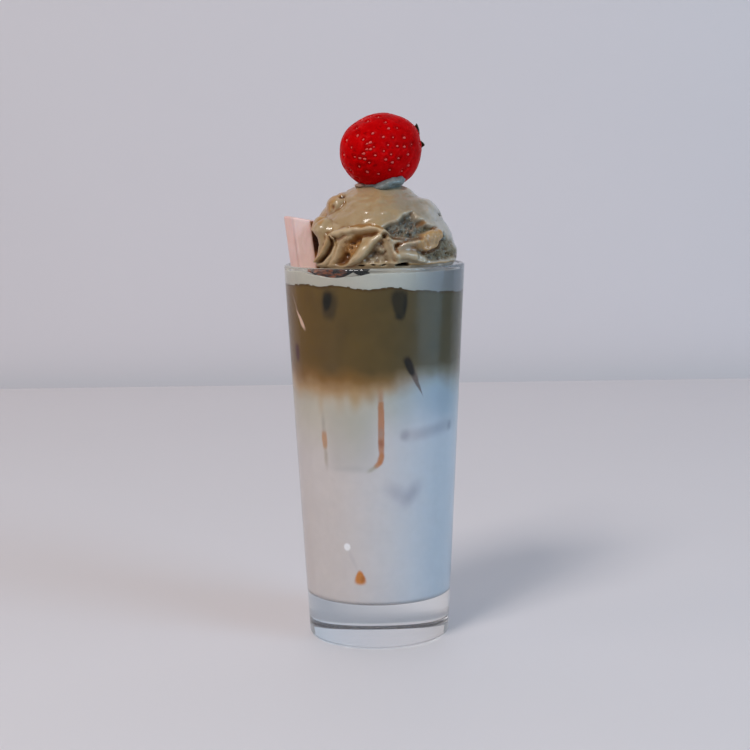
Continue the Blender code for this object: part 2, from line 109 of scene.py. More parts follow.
def joinLumps(lumps, name, voxel):  # balls become one skin
    balls = []
    for x, y, z, rx, ry, rz, tilt in lumps:
        selectNothing()
        bpy.ops.mesh.primitive_ico_sphere_add(subdivisions=5, radius=1, location=(x * mm, y * mm, z * mm),
                                              rotation=(0, math.radians(tilt), 0),
                                              scale=(rx * mm, ry * mm, rz * mm))
        placeInMesh(bpy.context.object)
        balls.append(bpy.context.object)
    piece = joinPieces(balls, name)
    applyModifier(piece, "REMESH", mode="VOXEL", voxel_size=voxel)
    applyModifier(piece, "SMOOTH", factor=0.5, iterations=6)
    return piece


def shadeSmooth(piece, degrees=180):
    makeActive(piece)
    if degrees < 180:
        bpy.ops.object.shade_smooth_by_angle(angle=math.radians(degrees))
    else:
        bpy.ops.object.shade_smooth()


def dressPiece(piece, finish, node):
    piece.data.materials.clear()
    piece.data.materials.append(finish)
    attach(piece, "root")
    if node:
        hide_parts(node)
    print(piece.name, len(piece.data.polygons), "faces")


def easeStep(value):
    value = np.clip(value, 0.0, 1.0)
    return value * value * (3.0 - 2.0 * value)


def noiseAt(points, size, seed=0.0):
    shift = Vector((seed, seed * 1.7, -seed * 0.6))
    return np.array([noise.noise(Vector(p) / size + shift) for p in points])


# Materials

def shade(red, green, blue):  # a colour as a screen shows it, made linear
    return tuple((c / 255 / 12.92 if c < 10.3 else ((c / 255 + 0.055) / 1.055) ** 2.4)
                 for c in (red, green, blue)) + (1.0,)


def newFinish(name, **sockets):
    finish = bpy.data.materials.new(name)
    finish.use_nodes = True
    tree = finish.node_tree
    shader = tree.nodes["Principled BSDF"]
    for socket, value in sockets.items():
        shader.inputs[socket.replace("_", " ")].default_value = value
    return finish, tree, shader, addNode(tree, "TexCoord").outputs["Object"]


def addNode(tree, kind, sockets=None, **settings):
    made = tree.nodes.new("ShaderNode" + kind)
    for name, value in settings.items():
        setattr(made, name, value)
    for name, value in (sockets or {}).items():
        if isinstance(value, bpy.types.NodeSocket):
            tree.links.new(value, made.inputs[name])
        else:
            made.inputs[name].default_value = value
    return made


def maths(tree, operation, first, second=None, third=None):
    sockets = {i: v for i, v in enumerate((first, second, third)) if v is not None}
    return addNode(tree, "Math", sockets, operation=operation).outputs[0]


def mixColours(tree, factor, under, over, blend="MIX"):
    under, over = (shade(*colour) if isinstance(colour, tuple) else colour for colour in (under, over))
    made = addNode(tree, "Mix", {0: factor, 6: under, 7: over}, data_type="RGBA", blend_type=blend)
    return made.outputs[2]


def fade(tree, value, fromLow, fromHigh, toLow=0.0, toHigh=1.0):
    sockets = {0: value, 1: fromLow, 2: fromHigh, 3: toLow, 4: toHigh}
    return addNode(tree, "MapRange", sockets, interpolation_type="SMOOTHSTEP").outputs[0]


def noiseNode(tree, vector, scale, detail=2.0, roughness=0.5):
    sockets = {"Vector": vector, "Scale": scale, "Detail": detail, "Roughness": roughness}
    return addNode(tree, "TexNoise", sockets).outputs[0]


def attribute(tree, name):
    return addNode(tree, "Attribute", attribute_name=name).outputs["Fac"]


def axisValue(tree, place, axis):
    return addNode(tree, "SeparateXYZ", {0: place}).outputs[axis]


def stretchPlace(tree, place, upright):
    return addNode(tree, "Mapping", {"Vector": place, "Scale": (1.0, 1.0, upright)}).outputs[0]


def addBump(tree, shader, height, strength, distance):
    bump = addNode(tree, "Bump", {"Height": height, "Strength": strength, "Distance": distance})
    tree.links.new(bump.outputs[0], shader.inputs["Normal"])


def colourAndBump(tree, shader, colour, height, strength, distance):
    tree.links.new(colour, shader.inputs["Base Color"])
    addBump(tree, shader, height, strength, distance)


# Camera at the photograph's place, floor, wall and lights

view = {
    "place": (0.0, -0.635, 0.189),
    "down": 7.52,
    "roll": -0.80,
    "lens": 76.8,
    "shift": -0.8 / 750,
}


def setCamera():
    selectNothing()
    bpy.ops.object.camera_add()
    camera = bpy.context.object
    camera.matrix_world = (Matrix.Translation(view["place"])
                           @ Matrix.Rotation(math.radians(90 - view["down"]), 4, "X")
                           @ Matrix.Rotation(math.radians(view["roll"]), 4, "Z"))
    camera.data.lens = view["lens"]
    camera.data.sensor_width = 36
    camera.data.shift_x = view["shift"]
    camera.data.clip_start = 0.01
    camera.data.dof.use_dof = False
    bpy.context.scene.camera = camera


room = {
    "floorBack": 0.74,
    "floorFront": -0.30,
    "floorWide": 0.92,
    "wallWide": 2.6,
    "floorColour": (229, 221, 221),
    "wallColour": (226, 217, 218),
    "wallGap": 0.03,
    "sky": (0.90, 0.94, 1.0, 1.0),
    "skyStrength": 0.27,
}
lamps = [
    # name, place, aimed at, size, colour, watts
    ("keyFrontLeft", (-0.885, -1.417, 1.99), (0, 0, 0.10), 0.80, (1.0, 0.96, 0.93), 27.0),
    ("warmLeft", (-1.90, -0.30, 0.60), (0, 0, 0.10), 1.20, (1.0, 0.84, 0.76), 4.5),
    ("coolRight", (2.00, -0.50, 0.35), (0, 0, 0.10), 1.90, (0.42, 0.72, 1.0), 9.0),
    ("coolHigh", (1.35, -0.95, 0.95), (0, 0, 0.10), 0.90, (0.42, 0.72, 1.0), 11.0),
    ("glint", (-0.30, -0.60, 0.75), (0, 0, 0.17), 0.05, (1.0, 0.98, 0.95), 0.35),
]


def paleFinish(name, colour):
    finish, tree, shader, place = newFinish(name, Roughness=0.55)
    darker = tuple(c - 3 for c in colour)
    tone = mixColours(tree, noiseNode(tree, place, 5.0, 3.0), colour, darker)
    colourAndBump(tree, shader, tone, noiseNode(tree, place, 900.0, 2.0), 0.05, 0.0002)
    return finish


def setRoom():
    selectNothing()
    deep = room["floorBack"] - room["floorFront"]
    bpy.ops.mesh.primitive_plane_add(size=1, location=(0, room["floorBack"] - deep / 2, 0))
    floor = bpy.context.object
    floor.name = "floor"
    floor.scale = (room["floorWide"], deep, 1)
    placeInMesh(floor)
    floor.data.materials.append(paleFinish("paleFloor", room["floorColour"]))
    bpy.ops.mesh.primitive_plane_add(size=1, location=(0, room["floorBack"] + room["wallGap"], 0.5),
                                     rotation=(math.radians(90), 0, 0))
    wall = bpy.context.object
    wall.name = "wall"
    wall.scale = (room["wallWide"], 3, 1)
    placeInMesh(wall)
    wall.data.materials.append(paleFinish("paleWall", room["wallColour"]))
    for name, place, target, size, colour, watts in lamps:
        selectNothing()
        bpy.ops.object.light_add(type="AREA", location=place)
        lamp = bpy.context.object
        lamp.name = name
        lamp.rotation_euler = (Vector(target) - Vector(place)).to_track_quat("-Z", "Y").to_euler()
        lamp.data.shape = "DISK"
        lamp.data.size = size
        lamp.data.color = colour
        lamp.data.energy = watts
    world = bpy.data.worlds.new("room")
    world.use_nodes = True
    sky = world.node_tree.nodes["Background"]
    sky.inputs[0].default_value = room["sky"]
    sky.inputs[1].default_value = room["skyStrength"]
    bpy.context.scene.world = world
    bpy.context.scene.view_settings.view_transform = "Standard"


setCamera()
setRoom()
print("camera, room and lights set")


# Glass: one ring after another is extruded along its outline

glass = {
    "height": 150 * mm,
    "rimRadius": 35.75 * mm,
    "floorRadius": 28.1 * mm,
    "heelHeight": 2.2 * mm,
    "heelWide": 2.2 * mm,
    "wall": 2.0 * mm,
    "base": 18.0 * mm,
    "cornerRadius": 2.0 * mm,
    "recessRadius": 25.6 * mm,
    "recessDepth": 0.5 * mm,
    "sides": 160,
    "haze": 0.2,
    "hazeLow": (21 * mm, 26 * mm),
    "hazeHigh": (148 * mm, 143 * mm),
    "tint": (0.91, 0.94, 0.945, 1.0),
    "shadowTint": (0.95, 0.97, 0.97, 1.0),
}


def outerRadius(z):
    return glass["floorRadius"] + (glass["rimRadius"] - glass["floorRadius"]) * z / glass["height"]


def innerRadius(z):
    return outerRadius(z) - glass["wall"]


def arcPoints(centre, radius, start, end, count):
    turns = [math.radians(start + (end - start) * i / count) for i in range(count + 1)]
    return [(centre[0] + radius * math.cos(t), centre[1] + radius * math.sin(t)) for t in turns]


def turnOutline(name, outline, sides):
    selectNothing()
    radius, height = outline[0]
    bpy.ops.mesh.primitive_circle_add(vertices=sides, radius=radius, fill_type="NGON",
                                      location=(0, 0, height))
    piece = bpy.context.object
    piece.name = name
    placeInMesh(piece)
    bpy.ops.object.mode_set(mode="EDIT")
    bpy.ops.mesh.select_all(action="SELECT")
    for nextRadius, nextHeight in outline[1:]:
        bpy.ops.mesh.extrude_region_move(TRANSFORM_OT_translate={"value": (0, 0, nextHeight - height)})
        share = nextRadius / radius
        bpy.ops.transform.resize(value=(share, share, 1), center_override=(0, 0, nextHeight))
        radius, height = nextRadius, nextHeight
    faceOutwards()
    return piece


def glassOutline():
    taper = math.degrees(math.atan2(glass["rimRadius"] - glass["floorRadius"], glass["height"]))
    lean = math.radians(taper)
    bead = glass["wall"] / 2
    heel, heelWide = glass["heelHeight"], glass["heelWide"]
    corner = glass["cornerRadius"]
    recess = glass["recessRadius"]
    depth = glass["recessDepth"]
    under = [(max(recess * i / 16, 1.0 * mm), depth * (1.0 - (i / 16) ** 2) ** 2) for i in range(17)]
    heelTurns = [math.radians(90 * i / 16) for i in range(17)]
    outline = under + [(outerRadius(heel) - heelWide * (1 - math.sin(t)), heel * (1 - math.cos(t)))
                       for t in heelTurns]
    outline += [(outerRadius(z * mm), z * mm) for z in range(10, 147, 6)]
    outline += arcPoints((glass["rimRadius"] - bead, glass["height"] - bead), bead, -taper, 180 - taper, 12)
    outline += [(innerRadius(z * mm), z * mm) for z in range(142, 24, -6)]
    cornerZ = glass["base"] + corner
    cornerX = innerRadius(cornerZ) - corner / math.cos(lean)
    outline += arcPoints((cornerX, cornerZ), corner, -taper, -90, 10)
    outline += [(cornerX * 0.6, glass["base"]), (cornerX * 0.3, glass["base"]), (1.0 * mm, glass["base"])]
    return outline


def glassFinish():
    finish, tree, shader, place = newFinish("clearGlass", Transmission_Weight=1.0, IOR=1.5,
                                            Base_Color=glass["tint"])
    smears = noiseNode(tree, place, 60.0, 3.0)
    high = axisValue(tree, place, 2)
    chilled = maths(tree, "MULTIPLY", fade(tree, high, *glass["hazeLow"]),
                    fade(tree, high, *glass["hazeHigh"]))
    rough = maths(tree, "MULTIPLY_ADD", chilled, glass["haze"], fade(tree, smears, 0.35, 0.8, 0.0, 0.035))
    tree.links.new(rough, shader.inputs["Roughness"])
    addBump(tree, shader, noiseNode(tree, place, 45.0, 1.0), 0.12, 0.0004)
    clear = addNode(tree, "BsdfTransparent", {"Color": glass["shadowTint"]})
    light = addNode(tree, "LightPath")
    both = addNode(tree, "MixShader", {0: light.outputs["Is Shadow Ray"], 1: shader.outputs[0],
                                       2: clear.outputs[0]})
    tree.links.new(both.outputs[0], tree.nodes["Material Output"].inputs["Surface"])
    return finish


def makeGlass():
    piece = turnOutline("tumbler", glassOutline(), glass["sides"])
    shadeSmooth(piece, 40)
    dressPiece(piece, glassFinish(), "glass")


makeGlass()


# Drink: three layers turned the same way, then waved where they meet

drink = {
    "reach": 0.15 * mm,     # into the glass, so that no air shows between
    "sides": 192,
    "matchaStart": [(-72, 101.0), (-40, 99.0), (-15, 98.4), (6, 99.0), (23, 102.0), (42, 107.5),
                    (68, 105.5), (120, 101.5), (180, 99.5), (235, 102.5)],
    "creamStart": [(-70, 142.8), (-47, 143.4), (-38, 142.6), (-25, 143.5), (-5, 141.8), (12, 142.6),
                   (30, 141.0), (50, 139.9), (74, 139.2), (110, 141.0), (150, 142.9), (185, 141.2),
                   (225, 143.3), (262, 141.9)],
    "creamTop": [(-55, 148.4), (-43, 147.2), (-28, 146.3), (-18, 146.8), (-10, 147.1), (-3, 148.0),
        (10, 148.2), (60, 148.0), (130, 147.3), (190, 148.1), (250, 147.5)],
    "blendStart": [(-75, 99.6), (-57, 99.8), (-33, 99.0), (-15, 97.8), (6, 100.4), (20, 101.4), (40, 104.8),
        (62, 101.6), (120, 99.5), (180, 97.5), (235, 100.0)],
    "blendHeight": [(-75, 10.4), (-57, 9.8), (-33, 9.2), (-15, 10.2), (6, 7.3), (20, 7.2), (40, 5.6),
        (62, 7.6), (120, 8.5), (180, 10.0), (235, 9.0)],
    # painted light: how much of the warm-lit colour, against the cool-lit one, each angle round the wall gets
    "warmLight": [(-75, 1.0), (-20, 1.0), (6, 0.85), (20, 0.4), (32, 0.08), (45, 0.0), (62, 0.15), (120, 0.7),
               (180, 1.0), (240, 0.9)],
    "markRadius": 32.0,
    "straightBelow": 60 * mm,
    "milkTop": 100 * mm,
    "matchaTop": 141.8 * mm,
    "matchaLap": 0.4 * mm,      # how far it reaches into the cream
    # painted shade line just under the cream
    "underCreamShade": (74, 46, 12),
    "grainColour": (70, 60, 46),
}
# What the sunk ice shows at the wall: angle, height, half width, half height in mm, turn in degrees,
# how soft its edge is, strength, colour, how much wider it is at its top, how square it is
iceMarks = [
    # the two dark ends at the top
    (-30.8, 135.8, 3.3, 5.9, -4, 0.50, 0.75, (58, 48, 32), 0.12, 2.6),
    (-32.2, 137.4, 1.9, 3.8, -8, 0.55, 0.97, (24, 20, 12), 0.15, 2.4),
    (16.3, 136.0, 2.9, 6.0, 5, 0.35, 0.92, (42, 36, 24), 0.32, 2.6),
    (19.8, 136.6, 0.8, 4.2, -6, 0.70, 0.65, (20, 18, 16), 0.0, 2.0),
    (15.2, 131.4, 1.6, 1.2, 0, 0.70, 0.60, (22, 22, 20), 0.0, 2.0),
    # streaks in the matcha
    (-58.6, 129.8, 0.80, 4.7, 35, 0.40, 0.92, (236, 198, 178), -0.65, 2.2),
    (-64.6, 136.2, 0.40, 4.4, 28, 0.60, 0.40, (190, 164, 148), -0.4, 2.0),
    (-65.8, 116.3, 1.9, 3.8, 2, 0.35, 0.95, (74, 14, 10), 0.2, 2.2),
    (27.6, 107.9, 1.1, 8.3, 25, 0.35, 0.84, (96, 74, 66), 0.75, 2.4),
    (23.5, 112.2, 1.65, 4.1, 25, 0.40, 0.98, (26, 18, 10), 0.25, 2.4),
    # the orange bar with its hook
    (3.2, 88.2, 1.28, 12.2, 0, 0.35, 0.86, (184, 116, 74), 0.0, 3.6),
    (3.1, 99.6, 1.1, 4.4, 0, 1.0, 0.66, (172, 116, 76), 0.0, 2.4),
    (2.7, 76.8, 1.28, 2.4, -16, 0.5, 0.86, (188, 116, 68), 0.0, 2.2),
    (1.0, 74.7, 1.05, 2.2, -50, 0.6, 0.84, (188, 116, 66), 0.0, 2.2),
    (-3.4, 72.8, 0.85, 2.4, -58, 0.95, 0.50, (150, 134, 96), 0.0, 2.0),
    (3.1, 82.9, 1.15, 1.7, 0, 0.90, 0.60, (142, 78, 56), 0.0, 2.0),
    (3.1, 86.6, 1.15, 2.0, 0, 0.90, 0.60, (166, 140, 130), 0.0, 2.0),
    # the orange edge further left
    (-40.2, 83.4, 1.40, 3.7, 1, 0.45, 0.86, (188, 138, 98), 0.0, 3.2),
    (-40.4, 89.6, 1.0, 4.4, 0, 1.0, 0.42, (146, 138, 130), 0.0, 2.0),
    (-39.6, 77.0, 1.0, 4.6, 2, 1.0, 0.50, (148, 132, 106), 0.0, 2.0),
    # the cube's face between them
    (-19.0, 84.2, 10.6, 12.6, 1, 0.40, 0.26, (152, 152, 144), 0.0, 4.5),
    (-18.0, 72.5, 8.0, 1.4, 1, 1.0, 0.22, (146, 146, 148), 0.0, 2.0),
    # drips under the matcha
    (-14.7, 99.6, 2.4, 4.4, 0, 1.10, 0.50, (176, 138, 82), 0.0, 2.0),
    (-42.1, 98.2, 1.5, 4.6, 0, 1.10, 0.40, (184, 150, 114), 0.0, 2.0),
    (-3.6, 100.6, 2.0, 3.4, 0, 1.10, 0.36, (160, 126, 84), 0.0, 2.0),
    (-26.0, 98.4, 2.2, 3.8, 0, 1.10, 0.30, (178, 146, 108), 0.0, 2.0),
    # slate veil and grey blurs at the right
    (50.0, 96.4, 9.5, 6.2, 0, 0.90, 0.50, (156, 164, 176), 0.0, 2.6),
    (20.4, 85.6, 2.0, 2.2, 0, 0.95, 0.50, (134, 126, 138), 0.0, 2.2),
    (29.5, 85.5, 6.0, 2.5, 0, 1.00, 0.36, (168, 148, 150), 0.0, 2.4),
    (50.0, 86.8, 10.5, 2.5, 5, 1.05, 0.44, (130, 124, 140), 0.0, 2.4),
    (63.6, 87.0, 1.7, 2.0, 0, 0.95, 0.45, (108, 108, 122), 0.0, 2.0),
    (15.0, 62.6, 3.0, 5.8, 53, 1.15, 0.34, (136, 128, 144), 0.0, 2.2),
    (26.4, 62.4, 2.8, 5.0, -38, 1.10, 0.44, (124, 114, 132), 0.1, 2.2),
    # near the bottom
    (-24.7, 41.3, 1.55, 1.55, 0, 0.40, 0.95, (246, 244, 248), 0.0, 2.0),
    (-20.0, 36.2, 0.9, 4.8, 27, 1.0, 0.20, (160, 156, 164), 0.0, 2.0),
    (-14.7, 29.3, 2.25, 3.0, 0, 0.40, 0.96, (196, 116, 24), -0.50, 2.4),
    (-12.6, 28.6, 1.0, 1.5, 0, 0.80, 0.50, (150, 78, 20), 0.0, 2.0),
    # at the back
    (150.0, 133.5, 3.6, 6.0, 10, 0.5, 0.72, (50, 50, 46), 0.35, 2.4),
    (207.0, 128.0, 3.0, 7.0, -14, 0.5, 0.70, (48, 48, 44), 0.3, 2.4),
    (176.0, 84.0, 1.3, 11.0, -2, 0.3, 0.85, (178, 118, 82), 0.0, 5.0),
    (196.0, 84.0, 9.5, 11.0, -2, 0.25, 0.28, (150, 152, 144), 0.0, 5.0),
    (215.5, 83.0, 1.2, 4.0, -2, 0.4, 0.80, (188, 138, 98), 0.0, 3.0),
    (130.0, 72.0, 9.0, 3.0, -6, 0.6, 0.45, (130, 122, 138), 0.2, 2.2),
    (232.0, 52.0, 2.0, 2.8, 0, 0.3, 0.90, (196, 116, 24), -0.5, 2.4),
    (104.0, 116.0, 1.2, 6.6, 24, 0.4, 0.85, (34, 32, 30), 0.6, 2.2),
    (258.0, 90.0, 6.0, 2.2, 4, 0.6, 0.45, (140, 130, 140), 0.0, 2.2),
]


def roundTheWall(table, degrees):
    angles = np.array([a for a, h in table] + [table[0][0] + 360.0])
    heights = np.array([h for a, h in table] + [table[0][1]])
    turned = table[0][0] + (np.asarray(degrees, float) - table[0][0]) % 360.0
    index = np.clip(np.searchsorted(angles, turned, side="right") - 1, 0, len(table) - 1)
    share = (turned - angles[index]) / (angles[index + 1] - angles[index])
    return heights[index] + (heights[index + 1] - heights[index]) * easeStep(share)


def wallAngles(points):
    return np.degrees(np.arctan2(points[:, 0], -points[:, 1]))


def drinkRadius(z):
    return innerRadius(z) + drink["reach"]


def wavedHeight(table, points):
    middle = sum(h for a, h in table) / len(table)
    share = np.clip(np.hypot(points[:, 0], points[:, 1]) / drinkRadius(middle * mm), 0.0, 1.0)
    return (middle + (roundTheWall(table, wallAngles(points)) - middle) * share ** 1.5) * mm


def layerOutline(low, high, wallRows, topRows, corner=False):
    outline = [(share * drinkRadius(low), low) for share in (0.04, 0.3, 0.6, 0.85)]
    if corner:
        radius = glass["cornerRadius"]
        centre = (drinkRadius(low + radius) - radius, low + radius)
        outline = outline[:-1] + arcPoints(centre, radius, -90, 0, 8)
    else:
        outline.append((drinkRadius(low), low))
    bottom = outline[-1][1]
    for i in range(1, wallRows + 1):
        z = bottom + (high - bottom) * i / wallRows
        outline.append((drinkRadius(z), z))
    for i in range(1, topRows):
        outline.append((drinkRadius(high) * (1 - i / topRows) ** 0.8, high))
    outline.append((1 * mm, high))
    return outline


def waveLayer(piece, low, high, lowTable, highTable, lift=0.0):
    points = readPoints(piece)
    share = np.clip((points[:, 2] - low) / (high - low), 0.0, 1.0)
    bottom = wavedHeight(lowTable, points) if lowTable else low
    top = wavedHeight(highTable, points) + lift
    raised = bottom + (top - bottom) * share
    grow = drinkRadius(raised) / drinkRadius(points[:, 2])
    points[:, :2] *= grow[:, None]
    points[:, 2] = raised
    writePoints(piece, points)
    return points


def markLayer(tree, colour, place, lowest, highest):
    for angle, height, wide, tall, turn, soft, strength, tint, taper, square in iceMarks:
        if not lowest <= height <= highest:
            continue
        centre = (math.radians(angle) * drink["markRadius"], height, 0.0)
        local = addNode(tree, "Mapping", {"Vector": place, "Location": centre,
                                          "Rotation": (0, 0, math.radians(turn)),
                                          "Scale": (wide, tall, 1.0)}, vector_type="TEXTURE")
        apart = addNode(tree, "SeparateXYZ", {0: local.outputs[0]})
        width = maths(tree, "MAXIMUM", maths(tree, "MULTIPLY_ADD", apart.outputs[1], taper, 1.0), 0.05)
        side = maths(tree, "ABSOLUTE", maths(tree, "DIVIDE", apart.outputs[0], width))
        rise = maths(tree, "ABSOLUTE", apart.outputs[1])
        total = maths(tree, "ADD", maths(tree, "POWER", side, square), maths(tree, "POWER", rise, square))
        reach = maths(tree, "POWER", total, 1.0 / square)
        cover = fade(tree, reach, 1.0 + soft * 0.6, 1.0 - soft * 0.9, 0.0, strength)
        colour = mixColours(tree, cover, colour, tint)
    return colour


def wallPlace(tree, place):  # the way round the wall and the height, in mm
    apart = addNode(tree, "SeparateXYZ", {0: place})
    start = math.radians(-90.0)
    turn = maths(tree, "ARCTAN2", apart.outputs[0], maths(tree, "MULTIPLY", apart.outputs[1], -1.0))
    turn = maths(tree, "FLOORED_MODULO", maths(tree, "SUBTRACT", turn, start), math.tau)
    across = maths(tree, "MULTIPLY", maths(tree, "ADD", turn, start), drink["markRadius"])
    height = maths(tree, "MULTIPLY", apart.outputs[2], 1000.0)
    sway = maths(tree, "MULTIPLY_ADD", noiseNode(tree, place, 260.0, 2.0), 0.8, -0.4)
    joined = addNode(tree, "CombineXYZ", {0: maths(tree, "ADD", across, sway),
                                          1: maths(tree, "ADD", height, sway)})
    return joined.outputs[0], across


# Painted light: each drink colour has a warm-lit version for the left and a cool-lit version for the right
drinkColours = {  # warm at the left, cool at the right
    "milk": ((214, 205, 204), (208, 203, 206)),
    "milkShade": ((206, 197, 197), (200, 196, 200)),
    "veil": ((198, 190, 178), (176, 180, 187)),
    "tan": ((182, 147, 106), (157, 155, 153)),
    "brown": ((136, 98, 48), (130, 120, 104)),
    "matcha": ((106, 83, 43), (92, 77, 50)),
    "matchaDeep": ((94, 74, 40), (84, 71, 47)),
    "matchaWarmLight": ((116, 84, 27), (92, 79, 52)),
}


def drinkFinish(name, lowest, highest):
    finish, tree, shader, place = newFinish(name, Roughness=0.22, Specular_IOR_Level=0.1,
                                            Subsurface_Weight=0.12, Subsurface_Scale=0.003,
                                            Subsurface_Radius=(1.0, 0.8, 0.6))
    wall, across = wallPlace(tree, place)
    clouds = noiseNode(tree, place, 70.0, 3.0, 0.55)
    fine = noiseNode(tree, place, 300.0, 3.0, 0.6)
    columns = noiseNode(tree, stretchPlace(tree, place, 0.35), 110.0, 2.0)
    level = attribute(tree, "blend")
    level = maths(tree, "ADD", level, maths(tree, "MULTIPLY_ADD", clouds, 0.8, -0.4))
    level = maths(tree, "ADD", level, maths(tree, "MULTIPLY_ADD", columns, 0.6, -0.3))
    warmLight = attribute(tree, "warmLight")
    tone = {part: mixColours(tree, warmLight, cool, warm) for part, (warm, cool) in drinkColours.items()}
    matcha = mixColours(tree, fade(tree, clouds, 0.35, 0.7), tone["matcha"], tone["matchaDeep"])
    # painted warm light over the matcha's left side
    matcha = mixColours(tree, fade(tree, across, -12.0, -36.0), matcha, tone["matchaWarmLight"])
    colour = mixColours(tree, clouds, tone["milk"], tone["milkShade"])
    for start, end, over in ((-2.6, -0.1, tone["veil"]), (-0.35, 0.6, tone["tan"]),
                             (0.3, 1.05, tone["brown"]), (0.85, 1.5, matcha)):
        colour = mixColours(tree, fade(tree, level, start, end), colour, over)
    # a painted shade line in the matcha just under the cream
    edge = fade(tree, attribute(tree, "under"), -1.0, -0.1, 0.0, 0.6)
    colour = mixColours(tree, edge, colour, drink["underCreamShade"])
    grain = maths(tree, "MULTIPLY", fine, 0.12)
    colour = mixColours(tree, grain, colour, drink["grainColour"], "MULTIPLY")
    colour = markLayer(tree, colour, wall, lowest, highest)
    colourAndBump(tree, shader, colour, fine, 0.08, 0.0004)
    return finish


def writeDrinkAttributes(piece):
    points = readPoints(piece)
    degrees = wallAngles(points)
    start = roundTheWall(drink["blendStart"], degrees)
    writeAttribute(piece, "blend", (points[:, 2] / mm - start) / roundTheWall(drink["blendHeight"], degrees))
    writeAttribute(piece, "under", points[:, 2] / mm - roundTheWall(drink["creamStart"], degrees))
    writeAttribute(piece, "warmLight", roundTheWall(drink["warmLight"], degrees))


def makeMilk():
    low, high, straight = glass["base"] - drink["reach"], drink["milkTop"], drink["straightBelow"]
    piece = turnOutline("milk", layerOutline(low, high, 60, 10, corner=True), drink["sides"])
    kept = readPoints(piece)
    waved = waveLayer(piece, straight, high, None, drink["matchaStart"])
    flat = kept[:, 2] < straight
    waved[flat] = kept[flat]
    writePoints(piece, waved)
    writeDrinkAttributes(piece)
    shadeSmooth(piece, 60)
    dressPiece(piece, drinkFinish("milkFinish", 0.0, 112.0), "milk_layer")


def makeMatcha():
    low, high = drink["milkTop"], drink["matchaTop"]
    piece = turnOutline("matcha", layerOutline(low, high, 34, 10), drink["sides"])
    waveLayer(piece, low, high, drink["matchaStart"], drink["creamStart"], drink["matchaLap"])
    writeDrinkAttributes(piece)
    shadeSmooth(piece, 60)
    dressPiece(piece, drinkFinish("matchaFinish", 90.0, 150.0), "matcha_layer")


cream = {
    "low": 142.0 * mm,
    "high": 148.0 * mm,
    "unevenAbove": 145.6 * mm,
    "colours": ((199, 192, 180), (184, 178, 168)),
    # painted shade: the cream turns darker towards its right side
    "sideShade": (6, 26, (130, 121, 118)),   # where it starts and ends across, in mm, and its colour
    "bubbles": 60,
    "seed": 7,
}


def creamFinish(name, colours, sideShade):
    finish, tree, shader, place = newFinish(name, Roughness=0.4, Subsurface_Weight=0.2,
                                            Subsurface_Scale=0.002, Subsurface_Radius=(1.0, 0.85, 0.7))
    clouds = noiseNode(tree, place, 160.0, 4.0, 0.6)
    start, end, shadedColour = sideShade
    tone = mixColours(tree, clouds, *colours)
    # the colour painted across one side: painted shade on the cream
    tone = mixColours(tree, fade(tree, axisValue(tree, place, 0), start * mm, end * mm), tone, shadedColour)
    froth = addNode(tree, "TexVoronoi", {"Vector": place, "Scale": 900.0}, feature="SMOOTH_F1")
    colourAndBump(tree, shader, tone, maths(tree, "ADD", froth.outputs[0], clouds), 0.12, 0.0004)
    return finish


def makeCream():
    low, high = cream["low"], cream["high"]
    piece = turnOutline("cream", layerOutline(low, high, 12, 26), drink["sides"])
    points = waveLayer(piece, low, high, drink["creamStart"], drink["creamTop"])
    top = easeStep((points[:, 2] - cream["unevenAbove"]) / (1.4 * mm))
    reach = np.hypot(points[:, 0], points[:, 1])
    free = top * easeStep((drinkRadius(high) - reach) / (1.2 * mm))
    points[:, 2] += free * (noiseAt(points, 7 * mm, 3.0) * 0.7 + noiseAt(points, 2.5 * mm, 5.0) * 0.25) * mm
    rng = np.random.default_rng(cream["seed"])
    for _ in range(cream["bubbles"]):
        turn, out, size = rng.uniform(0, math.tau), rng.uniform(27, 33) * mm, rng.uniform(0.4, 1.1) * mm
        far = np.hypot(points[:, 0] - out * math.sin(turn), points[:, 1] + out * math.cos(turn)) / size
        points[:, 2] -= free * easeStep(1.0 - far) * size * 0.5
    writePoints(piece, points)
    shadeSmooth(piece, 60)
    dressPiece(piece, creamFinish("creamFinish", cream["colours"], cream["sideShade"]), "cream_layer")


# A brown sheet on the cream inside the rim, at the front left: partly melt, partly painted shade of the gap
# under the scoop, black at its right end: angle, top and bottom in mm
meltAndShade = {
    "edge": [(-49, 148.6, 148.5), (-46, 148.7, 148.2), (-40.6, 148.9, 147.0), (-36, 149.0, 146.6),
        (-32, 149.1, 146.3), (-23.5, 149.2, 146.3), (-19.5, 149.1, 146.9), (-16.8, 149.0, 147.6),
        (-13.7, 148.95, 148.6), (-10.6, 148.9, 147.6), (-8, 148.9, 147.3), (-5.3, 148.8, 147.5),
        (-3.0, 148.3, 148.2)],
    "thickness": 1.3 * mm,
    "gap": 0.25 * mm,
    "brown": ((134, 64, 20), (10, 3, 2)),
    # painted shade: black where the gap under the scoop is, at the right end
    "gapShadow": ((7, 3, 3), (3, 2, 2)),
    "gapShadowFrom": (-14 * mm, -9 * mm),
}


def meltAndShadeFinish():
    finish, tree, shader, place = newFinish("meltAndShadeFinish", Roughness=0.6, Specular_IOR_Level=0.2)
    streaks = noiseNode(tree, stretchPlace(tree, place, 3.0), 420.0, 3.0)
    brown = mixColours(tree, fade(tree, streaks, 0.36, 0.6), *meltAndShade["brown"])
    gapShadow = mixColours(tree, streaks, *meltAndShade["gapShadow"])
    # painted shade: black towards the right end
    tone = mixColours(tree, fade(tree, axisValue(tree, place, 0), *meltAndShade["gapShadowFrom"]), brown, gapShadow)
    colourAndBump(tree, shader, tone, streaks, 0.25, 0.0004)
    return finish


